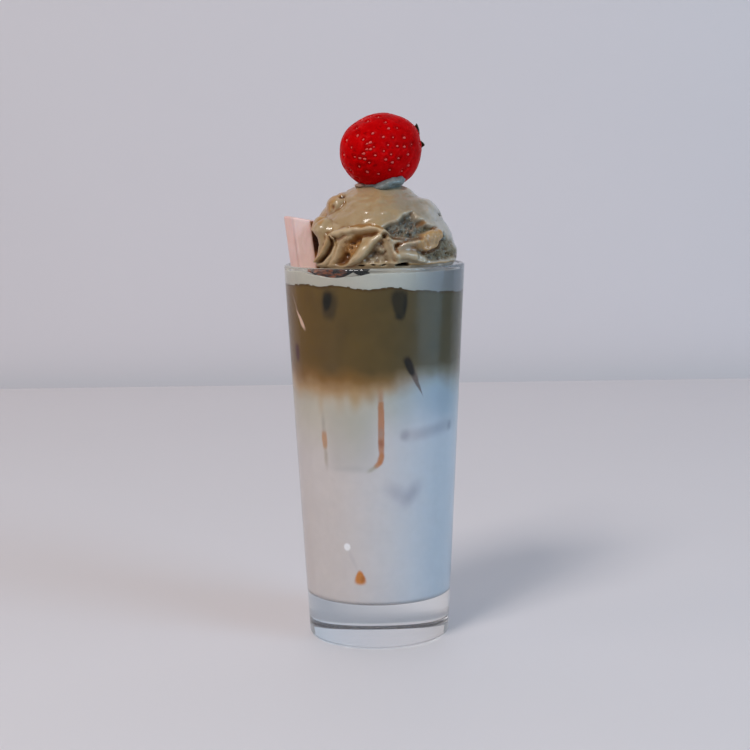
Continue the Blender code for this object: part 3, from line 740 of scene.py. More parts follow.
def makeMeltAndShade():
    selectNothing()
    bpy.ops.mesh.primitive_grid_add(x_subdivisions=90, y_subdivisions=6, size=2)
    piece = bpy.context.object
    piece.name = "meltAndShade"
    flat = readPoints(piece)
    angles, tops, bottoms = np.array(meltAndShade["edge"]).T
    degrees = angles[0] + (angles[-1] - angles[0]) * (flat[:, 0] + 1) / 2
    top, bottom = np.interp(degrees, angles, tops), np.interp(degrees, angles, bottoms)
    height = (bottom + (top - bottom) * (flat[:, 1] + 1) / 2) * mm
    reach = innerRadius(height) - meltAndShade["gap"] - meltAndShade["thickness"] / 2
    turn = np.radians(degrees)
    writePoints(piece, np.stack([reach * np.sin(turn), -reach * np.cos(turn), height], 1))
    applyModifier(piece, "SOLIDIFY", thickness=meltAndShade["thickness"], offset=0.0)
    makeActive(piece)
    bpy.ops.object.mode_set(mode="EDIT")
    faceOutwards()
    points = readPoints(piece)
    inward = -points * (1, 1, 0) / np.hypot(points[:, 0], points[:, 1])[:, None]
    points += inward * (np.abs(noiseAt(points, 1.2 * mm, 4.0)) * 0.5 * mm)[:, None]
    writePoints(piece, points)
    shadeSmooth(piece, 60)
    dressPiece(piece, meltAndShadeFinish(), None)


makeMilk()
makeMatcha()
makeCream()
makeMeltAndShade()


# Ice cream: balls joined by a remesh, then worked with strokes, pits and rough patches

scoop = {
    "lumps": [  # x, y, z, radii, in mm, and tilt in degrees
        (4.5, 1.0, 154.5, 27.8, 28.0, 25.0, 0), (2.2, 1.0, 172.0, 15.8, 15.5, 10.2, 0),
        (-14.0, -2.5, 172.6, 4.8, 5.6, 4.8, 0), (-12.5, 5.0, 166.0, 9.5, 11.0, 9.0, 0),
        (17.8, -3.0, 169.0, 7.9, 8.5, 6.6, 0), (14.5, 9.0, 166.5, 11.0, 11.0, 8.5, 0),
        (22.2, -4.5, 154.5, 9.6, 12.5, 9.4, 0), (21.0, 8.0, 156.0, 10.4, 12.0, 10.0, 0),
        (-18.6, -11.5, 157.5, 5.6, 5.8, 11.0, 0), (-20.0, -5.5, 163.8, 4.0, 4.6, 5.0, 0),
        (-11.6, -1.0, 174.2, 4.7, 5.5, 3.8, 0), (-6.0, 22.5, 157.5, 10.5, 7.2, 7.5, 0),
        (8.0, 24.0, 151.5, 12.0, 6.4, 6.0, 0),
    ],
    "voxel": 0.42 * mm,
    "bottom": 143.2 * mm,
    "drawnDownBelow": 152 * mm,
    "rimFrom": 148.6 * mm,
    "rimFade": 3.4 * mm,
    "widest": 33.0 * mm,
    "widestBelowRim": 31.0 * mm,
    "uneven": [(9, 2.0, 0.7), (3.5, 6.0, 0.3), (1.5, 8.0, 0.11)],    # size, seed, height in mm
    "rightShift": [(150.0, 0.8), (152.8, 1.2), (155.1, 1.2), (157.0, 0.3), (159.8, -0.4), (163.2, -0.9),
        (166.7, -1.5), (168.5, -0.8), (171.0, 0.0), (173.7, 0.0), (174.9, 0.8), (176.0, -1.2), (177.6, 0.6),
        (179.5, 1.4)],
    "leftShift": [(149.0, -0.8), (151.5, 0.3), (154.5, 2.3), (158.2, 3.5), (161.0, 2.2), (163.6, -0.4),
        (168.0, -0.4), (172.0, 0.2), (176.0, 0.0)],
}
# Strokes over the front as the camera sees them: line of (across, up, half width) in mm, how far it
# stands out or cuts in, which side is steep (1 left of the way it runs, -1 right), and its paint
frontStrokes = [
    ([(-12.4, 177.6, 0.9), (-15.2, 176.6, 1.2), (-17.2, 174.0, 1.3), (-18.9, 170.3, 1.3),
     (-21.2, 166.4, 1.1)], -0.15, 0, {"golden": 0.8}),
    ([(-11.3, 175.1, 2.0), (-3.2, 174.2, 2.2), (2.3, 175.3, 1.8)], 0.5, 0, {}),
    ([(-15.4, 163.5, 2.6), (-16.6, 155.7, 2.8), (-18.0, 148.7, 2.8)], 0.9, 0, {"pale": 0.35}),
    ([(-19.8, 160.6, 0.8), (-21.4, 156.8, 1.0), (-23.6, 151.0, 1.0)], 1.0, 0, {"golden": 0.5}),
    ([(-18.9, 160.4, 0.4), (-19.1, 157.5, 0.7), (-20.2, 153.6, 1.1), (-21.8, 150.8, 1.2)], -2.0, 0,
     {"brown": 1.0, "pitShade": 0.4}),
    ([(-17.8, 160.0, 1.4), (-12.3, 161.5, 1.6), (-6.8, 163.0, 1.7), (-1.7, 163.3, 1.8), (2.2, 162.9, 1.8),
     (4.5, 161.3, 1.7), (5.6, 159.3, 1.3)], 1.9, -1, {"pale": 0.7}),
    ([(-9.6, 164.0, 0.6), (-5.3, 164.6, 0.9), (-1.0, 164.5, 0.7), (3.7, 163.9, 0.8)], -0.9, 0,
     {"golden": 0.9, "brown": 0.45}),
    ([(0.6, 161.3, 0.7), (-3.5, 161.3, 1.0), (-7.0, 160.2, 1.1), (-9.7, 158.6, 1.0)], -1.4, 0,
     {"brown": 0.85, "golden": 0.6}),
    ([(-6.5, 159.6, 1.8), (-9.2, 157.2, 2.8), (-11.2, 154.3, 3.2), (-13.0, 150.6, 2.6)], -2.2, 0,
     {"golden": 1.0, "brown": 0.4, "rough": 0.8}),
    ([(-12.4, 153.0, 1.4), (-13.2, 151.0, 1.6), (-14.0, 149.2, 1.4)], -1.2, 0, {"brown": 0.9, "pitShade": 0.3}),
    ([(3.0, 160.4, 1.8), (-0.3, 158.0, 2.2), (-4.3, 153.6, 2.4), (-7.4, 150.6, 2.3), (-9.8, 148.4, 2.0)],
     2.3, 1, {"pale": 0.6}),
    ([(4.6, 160.4, 1.0), (9.9, 159.4, 1.0), (14.2, 159.0, 0.9), (18.2, 159.5, 0.7)], -1.5, 0,
     {"pitShade": 0.5, "brown": 0.7}),
    ([(8.0, 158.3, 1.3), (12.5, 158.2, 1.5), (16.5, 158.0, 1.4)], 1.0, 0, {"pale": 0.2}),
    ([(16.0, 158.0, 2.0), (21.0, 159.6, 2.6), (25.4, 160.6, 2.0)], 0.9, 0, {}),
    ([(19.8, 153.6, 0.8), (23.6, 154.6, 1.0), (26.2, 156.8, 1.0), (28.2, 160.6, 0.7)], -1.5, 0,
     {"brown": 0.9, "rough": 1.0, "pitShade": 0.35}),
    ([(5.4, 158.5, 2.2), (6.4, 154.6, 2.4), (8.0, 150.6, 2.6)], 1.3, 0, {"pale": 0.25}),
    ([(9.0, 153.0, 1.8), (14.0, 152.6, 2.0), (19.0, 151.2, 1.8)], 1.0, 0, {"pale": 0.35}),
    ([(9.4, 157.2, 0.6), (8.6, 155.6, 0.8), (9.4, 154.2, 0.7)], -1.2, 0, {"brown": 0.9}),
    ([(8.4, 156.9, 0.5), (10.6, 157.5, 0.8), (13.2, 158.3, 0.5)], -1.1, 0, {"brown": 0.9}),
    ([(9.4, 148.2, 1.1), (12.8, 148.4, 1.1)], -2.6, 0, {"pitShade": 1.0}),
    ([(14.0, 148.5, 0.6), (22.0, 149.0, 0.7), (31.0, 149.8, 0.6)], 0.3, 0, {"golden": 0.7}),
    ([(24.0, 152.5, 1.2), (28.0, 153.5, 1.4), (31.0, 152.0, 1.2)], -0.8, 0, {"golden": 0.5, "rough": 1.0}),
]
# Single pits and bumps over the front: across, up, half width, half height, out or in, paint
frontSpots = [
    (-12.1, 176.2, 1.2, 0.8, -1.0, {"brown": 1.0, "pitShade": 0.7}),
    (-11.7, 173.7, 0.8, 0.5, -0.4, {"brown": 0.8}),
    (-16.1, 172.2, 0.8, 1.0, -0.5, {"brown": 0.9}),
    (1.4, 157.0, 1.2, 1.0, 0.6, {}),
    (2.8, 155.1, 1.4, 1.5, 0.9, {"pale": 0.3}),
    (11.2, 148.0, 2.6, 1.0, -2.4, {"pitShade": 1.0}),
    (-5.1, 148.2, 1.4, 0.7, -1.4, {"pitShade": 1.0}),
    (-0.4, 148.4, 0.9, 0.6, -1.2, {"pitShade": 0.9}),
    (3.4, 148.2, 1.3, 0.6, -1.2, {"pitShade": 0.9}),
    (24.9, 163.8, 1.2, 0.5, -0.5, {"brown": 0.8}),
    (19.8, 165.8, 1.8, 0.8, -0.6, {"golden": 1.0, "brown": 0.7}),
    (19.6, 175.0, 2.0, 1.0, -0.8, {"pitShade": 0.9, "brown": 0.6}),
    (27.0, 169.0, 1.1, 0.9, -1.0, {"pitShade": 0.9}),
    (28.6, 161.1, 0.8, 1.0, -1.0, {"pitShade": 0.9}),
    (29.0, 159.4, 0.8, 0.9, -1.0, {"pitShade": 0.8}),
    (30.4, 158.0, 0.8, 1.0, -1.0, {"pitShade": 0.9}),
    (30.8, 155.2, 0.7, 1.2, -0.8, {"pitShade": 0.9}),
    (32.6, 151.5, 0.8, 2.0, -0.8, {"pitShade": 0.8, "brown": 0.5}),
    (-2.6, 170.2, 1.8, 0.8, 0.35, {}),
    (4.2, 169.9, 1.6, 0.7, 0.3, {}),
    (0.8, 153.4, 3.0, 2.4, -1.0, {"icy": 0.4, "rough": 0.4}),
]
# Rough icy patches over the front: outline, how far cut in, paint
frontPatches = [
    ([(15.4, 159.0), (18.7, 161.2), (23.4, 162.5), (27.0, 162.9), (27.9, 161.3), (26.9, 157.8),
     (24.5, 155.5), (20.5, 154.3), (16.6, 155.9)], 1.0, {"golden": 0.85, "rough": 0.3}),
    ([(4.1, 164.4), (7.0, 166.2), (9.6, 166.4), (12.4, 169.4), (15.5, 170.1), (17.1, 167.7), (21.0, 165.3),
     (24.8, 163.3), (19.0, 161.5), (18.2, 159.6), (13.9, 160.1), (8.0, 160.6), (5.3, 162.0)], -2.1,
     {"icy": 1.0, "rough": 1.0}),
    ([(-2.4, 155.0), (0.2, 158.2), (4.6, 159.0), (7.0, 155.1), (9.0, 150.5), (-2.9, 149.6), (-4.0, 152.0)],
     -0.8, {"icy": 0.4, "rough": 0.5}),
    ([(17.0, 154.6), (21.5, 153.6), (26.5, 157.5), (29.0, 162.0), (31.5, 158.0), (33.0, 152.0),
     (24.0, 150.4), (17.0, 151.0)], -0.9, {"icy": 0.9, "rough": 0.9}),
]
backStrokes = [
    ([(-20.0, 155.0, 2.2), (-9.0, 159.5, 2.6), (1.0, 158.8, 2.6), (11.0, 161.8, 2.4), (20.0, 159.2, 2.0)],
     2.0, -1, {"pale": 0.4}),
    ([(-19.0, 152.2, 0.9), (-9.0, 156.4, 1.2), (1.0, 155.8, 1.2), (11.0, 158.6, 1.1), (19.0, 156.4, 0.8)],
     -1.5, 0, {"golden": 0.9, "brown": 0.4}),
    ([(-2.0, 171.5, 2.0), (2.0, 165.0, 2.4), (5.0, 157.0, 2.6), (3.5, 149.5, 2.2)], 1.8, 1, {"pale": 0.3}),
    ([(-12.0, 172.0, 1.8), (-14.0, 166.0, 2.2), (-12.0, 160.5, 1.8)], 1.1, 0, {}),
    ([(12.0, 172.0, 1.6), (15.5, 167.5, 2.0), (14.0, 163.0, 1.6)], 1.0, 1, {"pale": 0.3}),
    ([(-16.0, 150.5, 1.6), (-11.0, 149.5, 1.8), (-5.0, 150.5, 1.6)], 1.3, 0, {"pale": 0.5}),
    ([(9.0, 152.0, 1.8), (15.0, 153.5, 2.0), (21.0, 151.5, 1.6)], 1.4, 0, {"pale": 0.6}),
    ([(7.0, 149.3, 0.9), (12.0, 149.8, 1.0)], -2.0, 0, {"pitShade": 0.9}),
]
backPatches = [
    ([(-15.0, 163.0), (-9.0, 168.5), (-3.0, 168.0), (-1.0, 163.5), (-7.0, 161.5)], -2.0,
     {"icy": 1.0, "rough": 1.0}),
    ([(7.0, 156.5), (12.0, 160.0), (19.0, 158.0), (20.0, 154.5), (12.0, 153.0)], -1.6,
     {"brown": 0.5, "golden": 0.5, "rough": 1.0}),
    ([(-18.0, 153.5), (-13.0, 155.5), (-9.0, 153.5), (-12.0, 150.5), (-17.0, 150.0)], -1.6,
     {"brown": 0.6, "golden": 0.4, "rough": 1.0}),
]


def smoothLine(line, steps=6):
    rows = [np.array(p, float) for p in [line[0], *line, line[-1]]]
    found = []
    for a, b, c, d in zip(rows, rows[1:], rows[2:], rows[3:]):
        for i in range(steps):
            t = i / steps
            found.append(0.5 * (2 * b + (c - a) * t + (2 * a - 5 * b + 4 * c - d) * t * t
                                + (3 * b - a - 3 * c + d) * t ** 3))
    return np.array(found + [rows[-1]])


def strokeReach(seen, line):
    rows = smoothLine(line)
    best = np.full(len(seen), 1e9)
    side = np.zeros(len(seen))
    for start, end in zip(rows, rows[1:]):
        way = end[:2] - start[:2]
        length = max(float(way @ way), 1e-9)
        away = seen - start[:2]
        t = np.clip((away @ way) / length, 0.0, 1.0)
        rest = away - t[:, None] * way
        wide = start[2] + (end[2] - start[2]) * t
        far = np.hypot(rest[:, 0], rest[:, 1]) / wide
        nearer = far < best
        best = np.where(nearer, far, best)
        turn = way[0] * rest[:, 1] - way[1] * rest[:, 0]
        side = np.where(nearer, np.sign(turn), side)
    return best, side


def patchCover(seen, outline, soft):
    corners = np.array(outline, float)
    inside = np.zeros(len(seen), bool)
    near = np.full(len(seen), 1e9)
    for a, b in zip(corners, np.roll(corners, -1, axis=0)):
        crosses = (a[1] > seen[:, 1]) != (b[1] > seen[:, 1])
        rise = b[1] - a[1] if abs(b[1] - a[1]) > 1e-9 else 1e-9
        inside ^= crosses & (seen[:, 0] < (b[0] - a[0]) * (seen[:, 1] - a[1]) / rise + a[0])
        way = b - a
        t = np.clip(((seen - a) @ way) / float(way @ way), 0.0, 1.0)
        near = np.minimum(near, np.hypot(*(seen - a - t[:, None] * way).T))
    return easeStep(0.5 + np.where(inside, near, -near) / soft)


def blendPaint(paint, name, cover):
    paint[name] = 1.0 - (1.0 - paint[name]) * (1.0 - np.clip(cover, 0.0, 1.0))


def workSide(points, normals, side, strokes, spots, patches, paint, move):
    away, eye = abs(view["place"][1]), view["place"][2]
    share = away / (away - side * points[:, 1])
    seen = np.stack([points[:, 0] * share, eye + (points[:, 2] - eye) * share], 1) / mm
    seen += np.stack([noiseAt(points, 3.2 * mm, 21.0), noiseAt(points, 3.2 * mm, 33.0)], 1) * 0.55
    facing = easeStep((points[:, 1] * side + 3.0 * mm) / (6.0 * mm))
    facing *= easeStep((normals[:, 1] * side + 0.45) / 0.4)
    for outline, depth, marks in patches:
        cover = patchCover(seen, outline, 1.3) * facing
        move += cover * depth
        for name, strength in marks.items():
            blendPaint(paint, name, cover * strength)
    for line, high, steep, marks in strokes:
        far, turn = strokeReach(seen, line)
        if steep:
            far = np.where(turn * steep > 0, far * 1.9, far * 0.8)
        move += high * easeStep((1.25 if high > 0 else 1.3) - far) * facing
        for name, strength in marks.items():
            blendPaint(paint, name, easeStep(1.35 - far) * facing * strength)
            if name == "pale":      # a pale stroke covers what lies under it
                for other in ("icy", "rough", "brown", "golden"):
                    paint[other] *= 1.0 - 0.8 * easeStep(1.2 - far) * facing
    nearHalf = easeStep((points[:, 1] * side + 15.0 * mm) / (6.0 * mm))
    for across, up, wide, tall, high, marks in spots:
        far = np.hypot((seen[:, 0] - across) / wide, (seen[:, 1] - up) / tall)
        centre = points[np.argmin(np.where(nearHalf > 0.5, far, 9.0))]
        deep = np.abs(points[:, 1] - centre[1]) / (2.0 * max(wide, tall) * mm)
        cover = easeStep(1.3 - np.maximum(far, deep)) * nearHalf
        move += high * cover
        for name, strength in marks.items():
            blendPaint(paint, name, cover * strength)


def keepInGlass(points):
    middle = scoop["drawnDownBelow"]
    low = points[:, 2] < middle
    down = np.maximum(middle - points[:, 2], 0.0) / (middle - points[:, 2].min())
    points[:, 2] = np.where(low, middle - (middle - scoop["bottom"]) * down ** 0.8, points[:, 2])
    rise = easeStep((points[:, 2] - scoop["rimFrom"]) / scoop["rimFade"])
    widest = scoop["widestBelowRim"] + (scoop["widest"] - scoop["widestBelowRim"]) * rise
    share = np.minimum(1.0, widest / np.maximum(np.hypot(points[:, 0], points[:, 1]), 1e-9))
    points[:, :2] *= share[:, None]
    return points


def fitProfile(points):  # the outline as measured from the front
    deep = easeStep(1.3 - np.abs(points[:, 1]) / (24 * mm))
    for side, table in ((1, scoop["rightShift"]), (-1, scoop["leftShift"])):
        heights, shifts = np.array(table).T
        out = easeStep((points[:, 0] * side / mm - 9.0) / 9.0)
        points[:, 0] += out * deep * np.interp(points[:, 2] / mm, heights, shifts) * mm
    return points


def hollowness(piece, points, normals, rounds):
    edges = np.zeros(len(piece.data.edges) * 2, int)
    piece.data.edges.foreach_get("vertices", edges)
    edges = edges.reshape(-1, 2)
    count = np.bincount(edges.ravel(), minlength=len(points)).astype(float)
    eased = points.copy()
    for _ in range(rounds):
        total = np.zeros_like(eased)
        for axis in range(3):
            total[:, axis] = (np.bincount(edges[:, 0], eased[edges[:, 1], axis], len(points))
                              + np.bincount(edges[:, 1], eased[edges[:, 0], axis], len(points)))
        eased = total / count[:, None]
    return ((eased - points) * normals).sum(1) / mm


scoopColours = {
    "skin": ((171, 142, 102), (147, 129, 106)),     # left, middle
    "rightSkin": (181, 166, 150),
    "cloud": (184, 158, 126),
    "pale": (202, 170, 126),
    # painted shade in the hollows, golden brown like melt, and painted highlight on the ridges
    "hollow": (136, 90, 38),
    "ridgeHighlight": (206, 184, 152),
    "golden": ((196, 144, 72), (160, 112, 50)),
    "mottle": (150, 106, 54),
    "grain": (168, 160, 150),
    "icy": ((62, 54, 40), (126, 116, 98)),
    "icyRight": (122, 104, 66),
    "icyGrain": (98, 78, 46),
    "brown": ((160, 98, 34), (98, 56, 18)),
    # painted shade in pits, holes and grooves
    "pitShade": (28, 16, 10),
}


def iceCreamFinish():
    finish, tree, shader, place = newFinish("iceCreamFinish", Subsurface_Weight=0.1, Subsurface_Scale=0.002,
                                            Subsurface_Radius=(1.0, 0.7, 0.4), Coat_Weight=0.5,
                                            Coat_Roughness=0.05)
    tint = scoopColours
    large = noiseNode(tree, place, 90.0, 3.0)
    middle = noiseNode(tree, place, 280.0, 4.0, 0.6)
    fine = noiseNode(tree, place, 700.0, 3.0, 0.6)
    sideways = maths(tree, "MULTIPLY_ADD", large, 0.03, -0.015)
    sideways = maths(tree, "ADD", axisValue(tree, place, 0), sideways)
    hollow, rough = attribute(tree, "hollow"), attribute(tree, "rough")
    grains = mixColours(tree, fade(tree, middle, 0.3, 0.7), *tint["icy"])
    grains = mixColours(tree, fade(tree, sideways, 0.013, 0.019, 0.0, 0.6), grains, tint["icyRight"])
    grains = mixColours(tree, fade(tree, fine, 0.55, 0.8), grains, tint["icyGrain"])
    colour = mixColours(tree, fade(tree, sideways, -0.002, 0.012), *tint["skin"])
    for cover, over in (
            (fade(tree, sideways, 0.012, 0.022), tint["rightSkin"]),
            (fade(tree, large, 0.4, 0.75, 0.0, 0.35), tint["cloud"]),
            (attribute(tree, "pale"), tint["pale"]),
            # painted shade in the hollows and painted highlight on the ridges
            (fade(tree, hollow, 0.02, 0.30, 0.0, 0.9), tint["hollow"]),
            (fade(tree, hollow, -0.05, -0.4, 0.0, 0.4), tint["ridgeHighlight"]),
            (attribute(tree, "golden"), mixColours(tree, middle, *tint["golden"])),
            (fade(tree, middle, 0.52, 0.72, 0.0, 0.28), tint["mottle"]),
            (fade(tree, fine, 0.55, 0.75, 0.0, 0.22), tint["grain"]),
            (attribute(tree, "icy"), grains),
            (attribute(tree, "brown"), mixColours(tree, fine, *tint["brown"])),
            # painted shade in pits, holes and grooves
            (attribute(tree, "pitShade"), tint["pitShade"])):
        colour = mixColours(tree, cover, colour, over)
    wet = maths(tree, "ADD", fade(tree, rough, 0.0, 1.0, 0.30, 0.65),
                maths(tree, "MULTIPLY_ADD", fine, 0.1, -0.05))
    tree.links.new(wet, shader.inputs["Roughness"])
    height = maths(tree, "MULTIPLY", fine, maths(tree, "MULTIPLY_ADD", rough, 1.0, 0.12))
    colourAndBump(tree, shader, colour, height, 0.6, 0.0006)
    return finish


def makeIceCream():
    piece = joinLumps(scoop["lumps"], "iceCream", scoop["voxel"])
    points = readPoints(piece)
    normals = readNormals(piece)
    paint = {name: np.zeros(len(points)) for name in ("golden", "brown", "pitShade", "icy", "pale", "rough")}
    move = np.zeros(len(points))
    workSide(points, normals, -1, frontStrokes, frontSpots, frontPatches, paint, move)
    workSide(points, normals, 1, backStrokes, [], backPatches, paint, move)
    rough = paint["rough"]
    pits = easeStep((noiseAt(points, 1.1 * mm, 4.0) - 0.05) / 0.35)
    wide = easeStep((noiseAt(points, 2.6 * mm, 9.0) - 0.1) / 0.35)
    move -= rough * (pits * 0.8 + wide * 0.8)
    move += sum(noiseAt(points, size * mm, seed) * high for size, seed, high in scoop["uneven"])
    # painted shade in the rough pits
    blendPaint(paint, "pitShade", rough * pits * wide * 0.8)
    blendPaint(paint, "brown", rough * pits * 0.35)
    points = keepInGlass(fitProfile(points + normals * move[:, None] * mm))
    writePoints(piece, points)
    applyModifier(piece, "SMOOTH", factor=0.5, iterations=1)
    points = readPoints(piece)
    writeAttribute(piece, "hollow", hollowness(piece, points, readNormals(piece), 14))
    for name, values in paint.items():
        writeAttribute(piece, name, values)
    shadeSmooth(piece)
    dressPiece(piece, iceCreamFinish(), "ice_cream")


makeIceCream()


# Cream dab under the strawberry

dab = {
    "lumps": [  # x, y, z, radii, in mm, and tilt in degrees
        (5.6, -2.6, 181.0, 7.2, 8.8, 2.8, -16), (-4.6, -2.0, 180.7, 2.8, 4.4, 1.0, 0),
        (1.0, -1.0, 180.6, 6.0, 7.0, 1.6, 0),
    ],
    "voxel": 0.3 * mm,
    # painted shade with cool light: the dab is grey-blue and dark; its left end is painted lighter and pinker
    "colours": ((148, 156, 156), (72, 80, 74)),
    "sideShade": (0, -5, (172, 144, 128)),
}


def makeDab():
    piece = joinLumps(dab["lumps"], "creamDab", dab["voxel"])
    points = readPoints(piece)
    points += readNormals(piece) * (noiseAt(points, 2.4 * mm, 8.0) * 0.55 * mm)[:, None]
    writePoints(piece, points)
    shadeSmooth(piece)
    dressPiece(piece, creamFinish("dabFinish", dab["colours"], dab["sideShade"]), "cream_dab")


makeDab()


# Strawberry: a ball drawn out to a berry, dimpled round its seeds

berry = {
    "centre": Vector((3.0, 1.5, 194.3)) * mm,
    "length": 37.6 * mm,
    "radius": 15.0 * mm,
    "shoulder": 0.44,
    "stalkEnd": Vector((0.56, 0.80, 0.10)).normalized(),
    "fullSide": Vector((-0.7, -0.1, -0.7)),
    "fullness": 0.035,
    "seeds": 230,
    "frontSeeds": [  # as the camera sees them over the middle plane, in mm
        (5.3, 205.3), (6.5, 202.9), (9.9, 203.0), (0.1, 201.0), (4.3, 199.5), (8.2, 199.3), (12.7, 199.1),
        (-3.7, 198.6), (-2.2, 196.9), (-0.9, 197.4), (6.2, 196.3), (9.9, 195.8), (12.6, 195.5),
        (0.5, 195.6), (-0.9, 194.7), (-2.4, 194.7), (4.5, 193.9), (-3.7, 193.0), (1.0, 192.2),
        (7.4, 192.5), (14.0, 192.4), (-7.2, 191.7), (-5.2, 191.2), (-3.2, 190.8), (-1.4, 189.3),
        (5.2, 190.5), (10.3, 190.9), (-5.5, 187.8), (7.8, 189.3), (-9.0, 186.5), (6.7, 186.3),
        (-2.3, 185.7), (-6.4, 203.2), (-10.4, 198.4), (-11.6, 192.6), (-8.6, 195.6), (-6.0, 200.2),
        (-1.8, 205.8), (2.4, 207.4), (14.2, 188.0), (11.6, 185.8), (2.2, 184.8), (-6.2, 183.4),
        (-12.4, 188.8), (15.6, 196.4)],
    "seedSize": Vector((0.36, 0.58, 0.30)) * mm,
    "dimple": 1.6 * mm,
    "dimpleDepth": 0.5 * mm,
    "topPower": 0.92,       # how full it is above and below its widest place
    "tipPower": 1.12,
    "turnedAway": 0.22,     # skin that faces the camera less than this keeps its regular seeds
    "bareBelow": 184 * mm,  # no seeds where it sits in the dab
    "skin": ((206, 2, 6), (184, 1, 4)),
    "speckle": (232, 30, 28),
    "darkSpeckle": (128, 1, 3),
    # painted shade in the dimples round the seeds
    "dimpleShade": (136, 1, 3),
    # pale pink seeds: seed colour and partly painted highlight
    "seedAndGlintColours": ((246, 128, 118), (196, 40, 36)),
}


def berryTurn():
    turn = berry["stalkEnd"].to_track_quat("Z", "Y").to_matrix().to_4x4()
    return Matrix.Translation(berry["centre"]) @ turn


def berrySkin(ways):
    above = berry["length"] * berry["shoulder"]
    below = berry["length"] - above
    up = np.clip(ways[:, 2], -1.0, 1.0)
    flat = np.sqrt(1.0 - up * up)
    full = np.where(up > 0, flat ** berry["topPower"], flat ** berry["tipPower"])
    radius = berry["radius"] * full
    height = np.where(up > 0, above * up, below * up) + (below - above) / 2
    turn = np.arctan2(ways[:, 1], ways[:, 0])
    swell = 1.0 + 0.022 * np.sin(3 * turn + 0.6) + 0.012 * np.sin(5 * turn + height * 160)
    local = np.stack([radius * swell * np.cos(turn), radius * swell * np.sin(turn), height], 1)
    matrix = np.array(berryTurn())
    placed = local @ matrix[:3, :3].T
    lean = (placed / np.linalg.norm(placed, axis=1)[:, None]) @ np.array(berry["fullSide"])
    return placed * (1.0 + berry["fullness"] * lean)[:, None] + matrix[:3, 3]


goldenAngle = math.radians(137.508)


def seedWays():
    ways = []
    for i in range(berry["seeds"]):
        up = 0.84 - 1.82 * (i + 0.5) / berry["seeds"]
        turn = i * goldenAngle
        flat = math.sqrt(1.0 - up * up)
        ways.append((flat * math.cos(turn), flat * math.sin(turn), up))
    return np.array(ways)


def frontWays(skin, ways):  # seeds where they show, in place of the regular ones there
    eye = Vector(view["place"])
    kept = []
    for spot in berrySkin(ways):
        normal = skin.find_nearest(Vector(spot))[1]
        if normal.dot((eye - Vector(spot)).normalized()) < berry["turnedAway"]:
            kept.append(spot)
    for across, up in berry["frontSeeds"]:
        hit = skin.ray_cast(eye, Vector((across * mm, 0.0, up * mm)) - eye)[0]
        if hit:
            kept.append(np.array(hit))
    return np.array(kept)


def skinTree(piece, points):
    return BVHTree.FromPolygons([Vector(p) for p in points], [tuple(p.vertices) for p in piece.data.polygons])


def berryFinish():
    finish, tree, shader, place = newFinish("strawberryFinish", Roughness=0.3, Specular_IOR_Level=0.012)
    clouds = noiseNode(tree, place, 120.0, 4.0)
    fine = noiseNode(tree, place, 900.0, 3.0)
    speckle = noiseNode(tree, place, 520.0, 3.0, 0.6)
    dimple = fade(tree, attribute(tree, "dimple"), 0.25, 1.0, 0.0, 0.5)
    colour = mixColours(tree, fade(tree, clouds, 0.3, 0.7), *berry["skin"])
    colour = mixColours(tree, fade(tree, speckle, 0.54, 0.74, 0.0, 0.5), colour, berry["speckle"])
    colour = mixColours(tree, fade(tree, speckle, 0.46, 0.28, 0.0, 0.6), colour, berry["darkSpeckle"])
    # painted shade in the dimples round the seeds
    colour = mixColours(tree, dimple, colour, berry["dimpleShade"])
    colourAndBump(tree, shader, colour, maths(tree, "ADD", fine, speckle), 0.3, 0.0004)
    return finish


def seedFinish():
    finish, tree, shader, place = newFinish("seedFinish", Roughness=0.35, Specular_IOR_Level=0.15)
    # seed colour and partly painted highlight
    tone = mixColours(tree, noiseNode(tree, place, 300.0, 2.0), *berry["seedAndGlintColours"])
    colourAndBump(tree, shader, tone, noiseNode(tree, place, 2500.0, 2.0), 0.2, 0.0002)
    return finish


def makeStrawberry():
    selectNothing()
    bpy.ops.mesh.primitive_ico_sphere_add(subdivisions=7, radius=1)
    piece = bpy.context.object
    piece.name = "strawberryFlesh"
    ways = readPoints(piece)
    ways /= np.linalg.norm(ways, axis=1)[:, None]
    points = berrySkin(ways)
    writePoints(piece, points)
    normals = readNormals(piece)
    places = frontWays(skinTree(piece, points), seedWays())
    dimple = np.zeros(len(points))
    for seed in places:
        far = np.linalg.norm(points - seed, axis=1) / berry["dimple"]
        dimple = np.maximum(dimple, easeStep(1.15 - far))
    points = points - normals * (dimple * berry["dimpleDepth"])[:, None]
    points += normals * (noiseAt(points, 6 * mm, 5.0) * 0.25 * mm)[:, None]
    writePoints(piece, points)
    writeAttribute(piece, "dimple", dimple)
    shadeSmooth(piece)
    dressPiece(piece, berryFinish(), "strawberry")
    makeSeeds(skinTree(piece, points), places)


def makeSeeds(skin, places):
    selectNothing()
    bpy.ops.mesh.primitive_ico_sphere_add(subdivisions=2, radius=1)
    pattern = bpy.context.object
    shape = readPoints(pattern)
    shape[:, 0] *= 1.0 - 0.35 * shape[:, 1]     # narrower at one end
    seeds = []
    tip = -berry["stalkEnd"]
    for number, place in enumerate(places):
        hit, normal = skin.find_nearest(Vector(place))[:2]
        if hit.z < berry["bareBelow"]:
            continue
        along = (tip - normal * tip.dot(normal)).normalized()
        across = along.cross(normal)
        size = berry["seedSize"] * (1.0 + 0.3 * math.sin(number * 2.3))
        turn = Matrix((across, along, normal)).transposed()
        copy = bpy.data.objects.new("seed", pattern.data.copy())
        bpy.context.scene.collection.objects.link(copy)
        placed = (shape * np.array(size)) @ np.array(turn).T + np.array(hit + normal * 0.08 * mm)
        writePoints(copy, placed)
        seeds.append(copy)
    bpy.data.objects.remove(pattern)
    piece = joinPieces(seeds, "strawberrySeeds")
    shadeSmooth(piece)
    dressPiece(piece, seedFinish(), None)


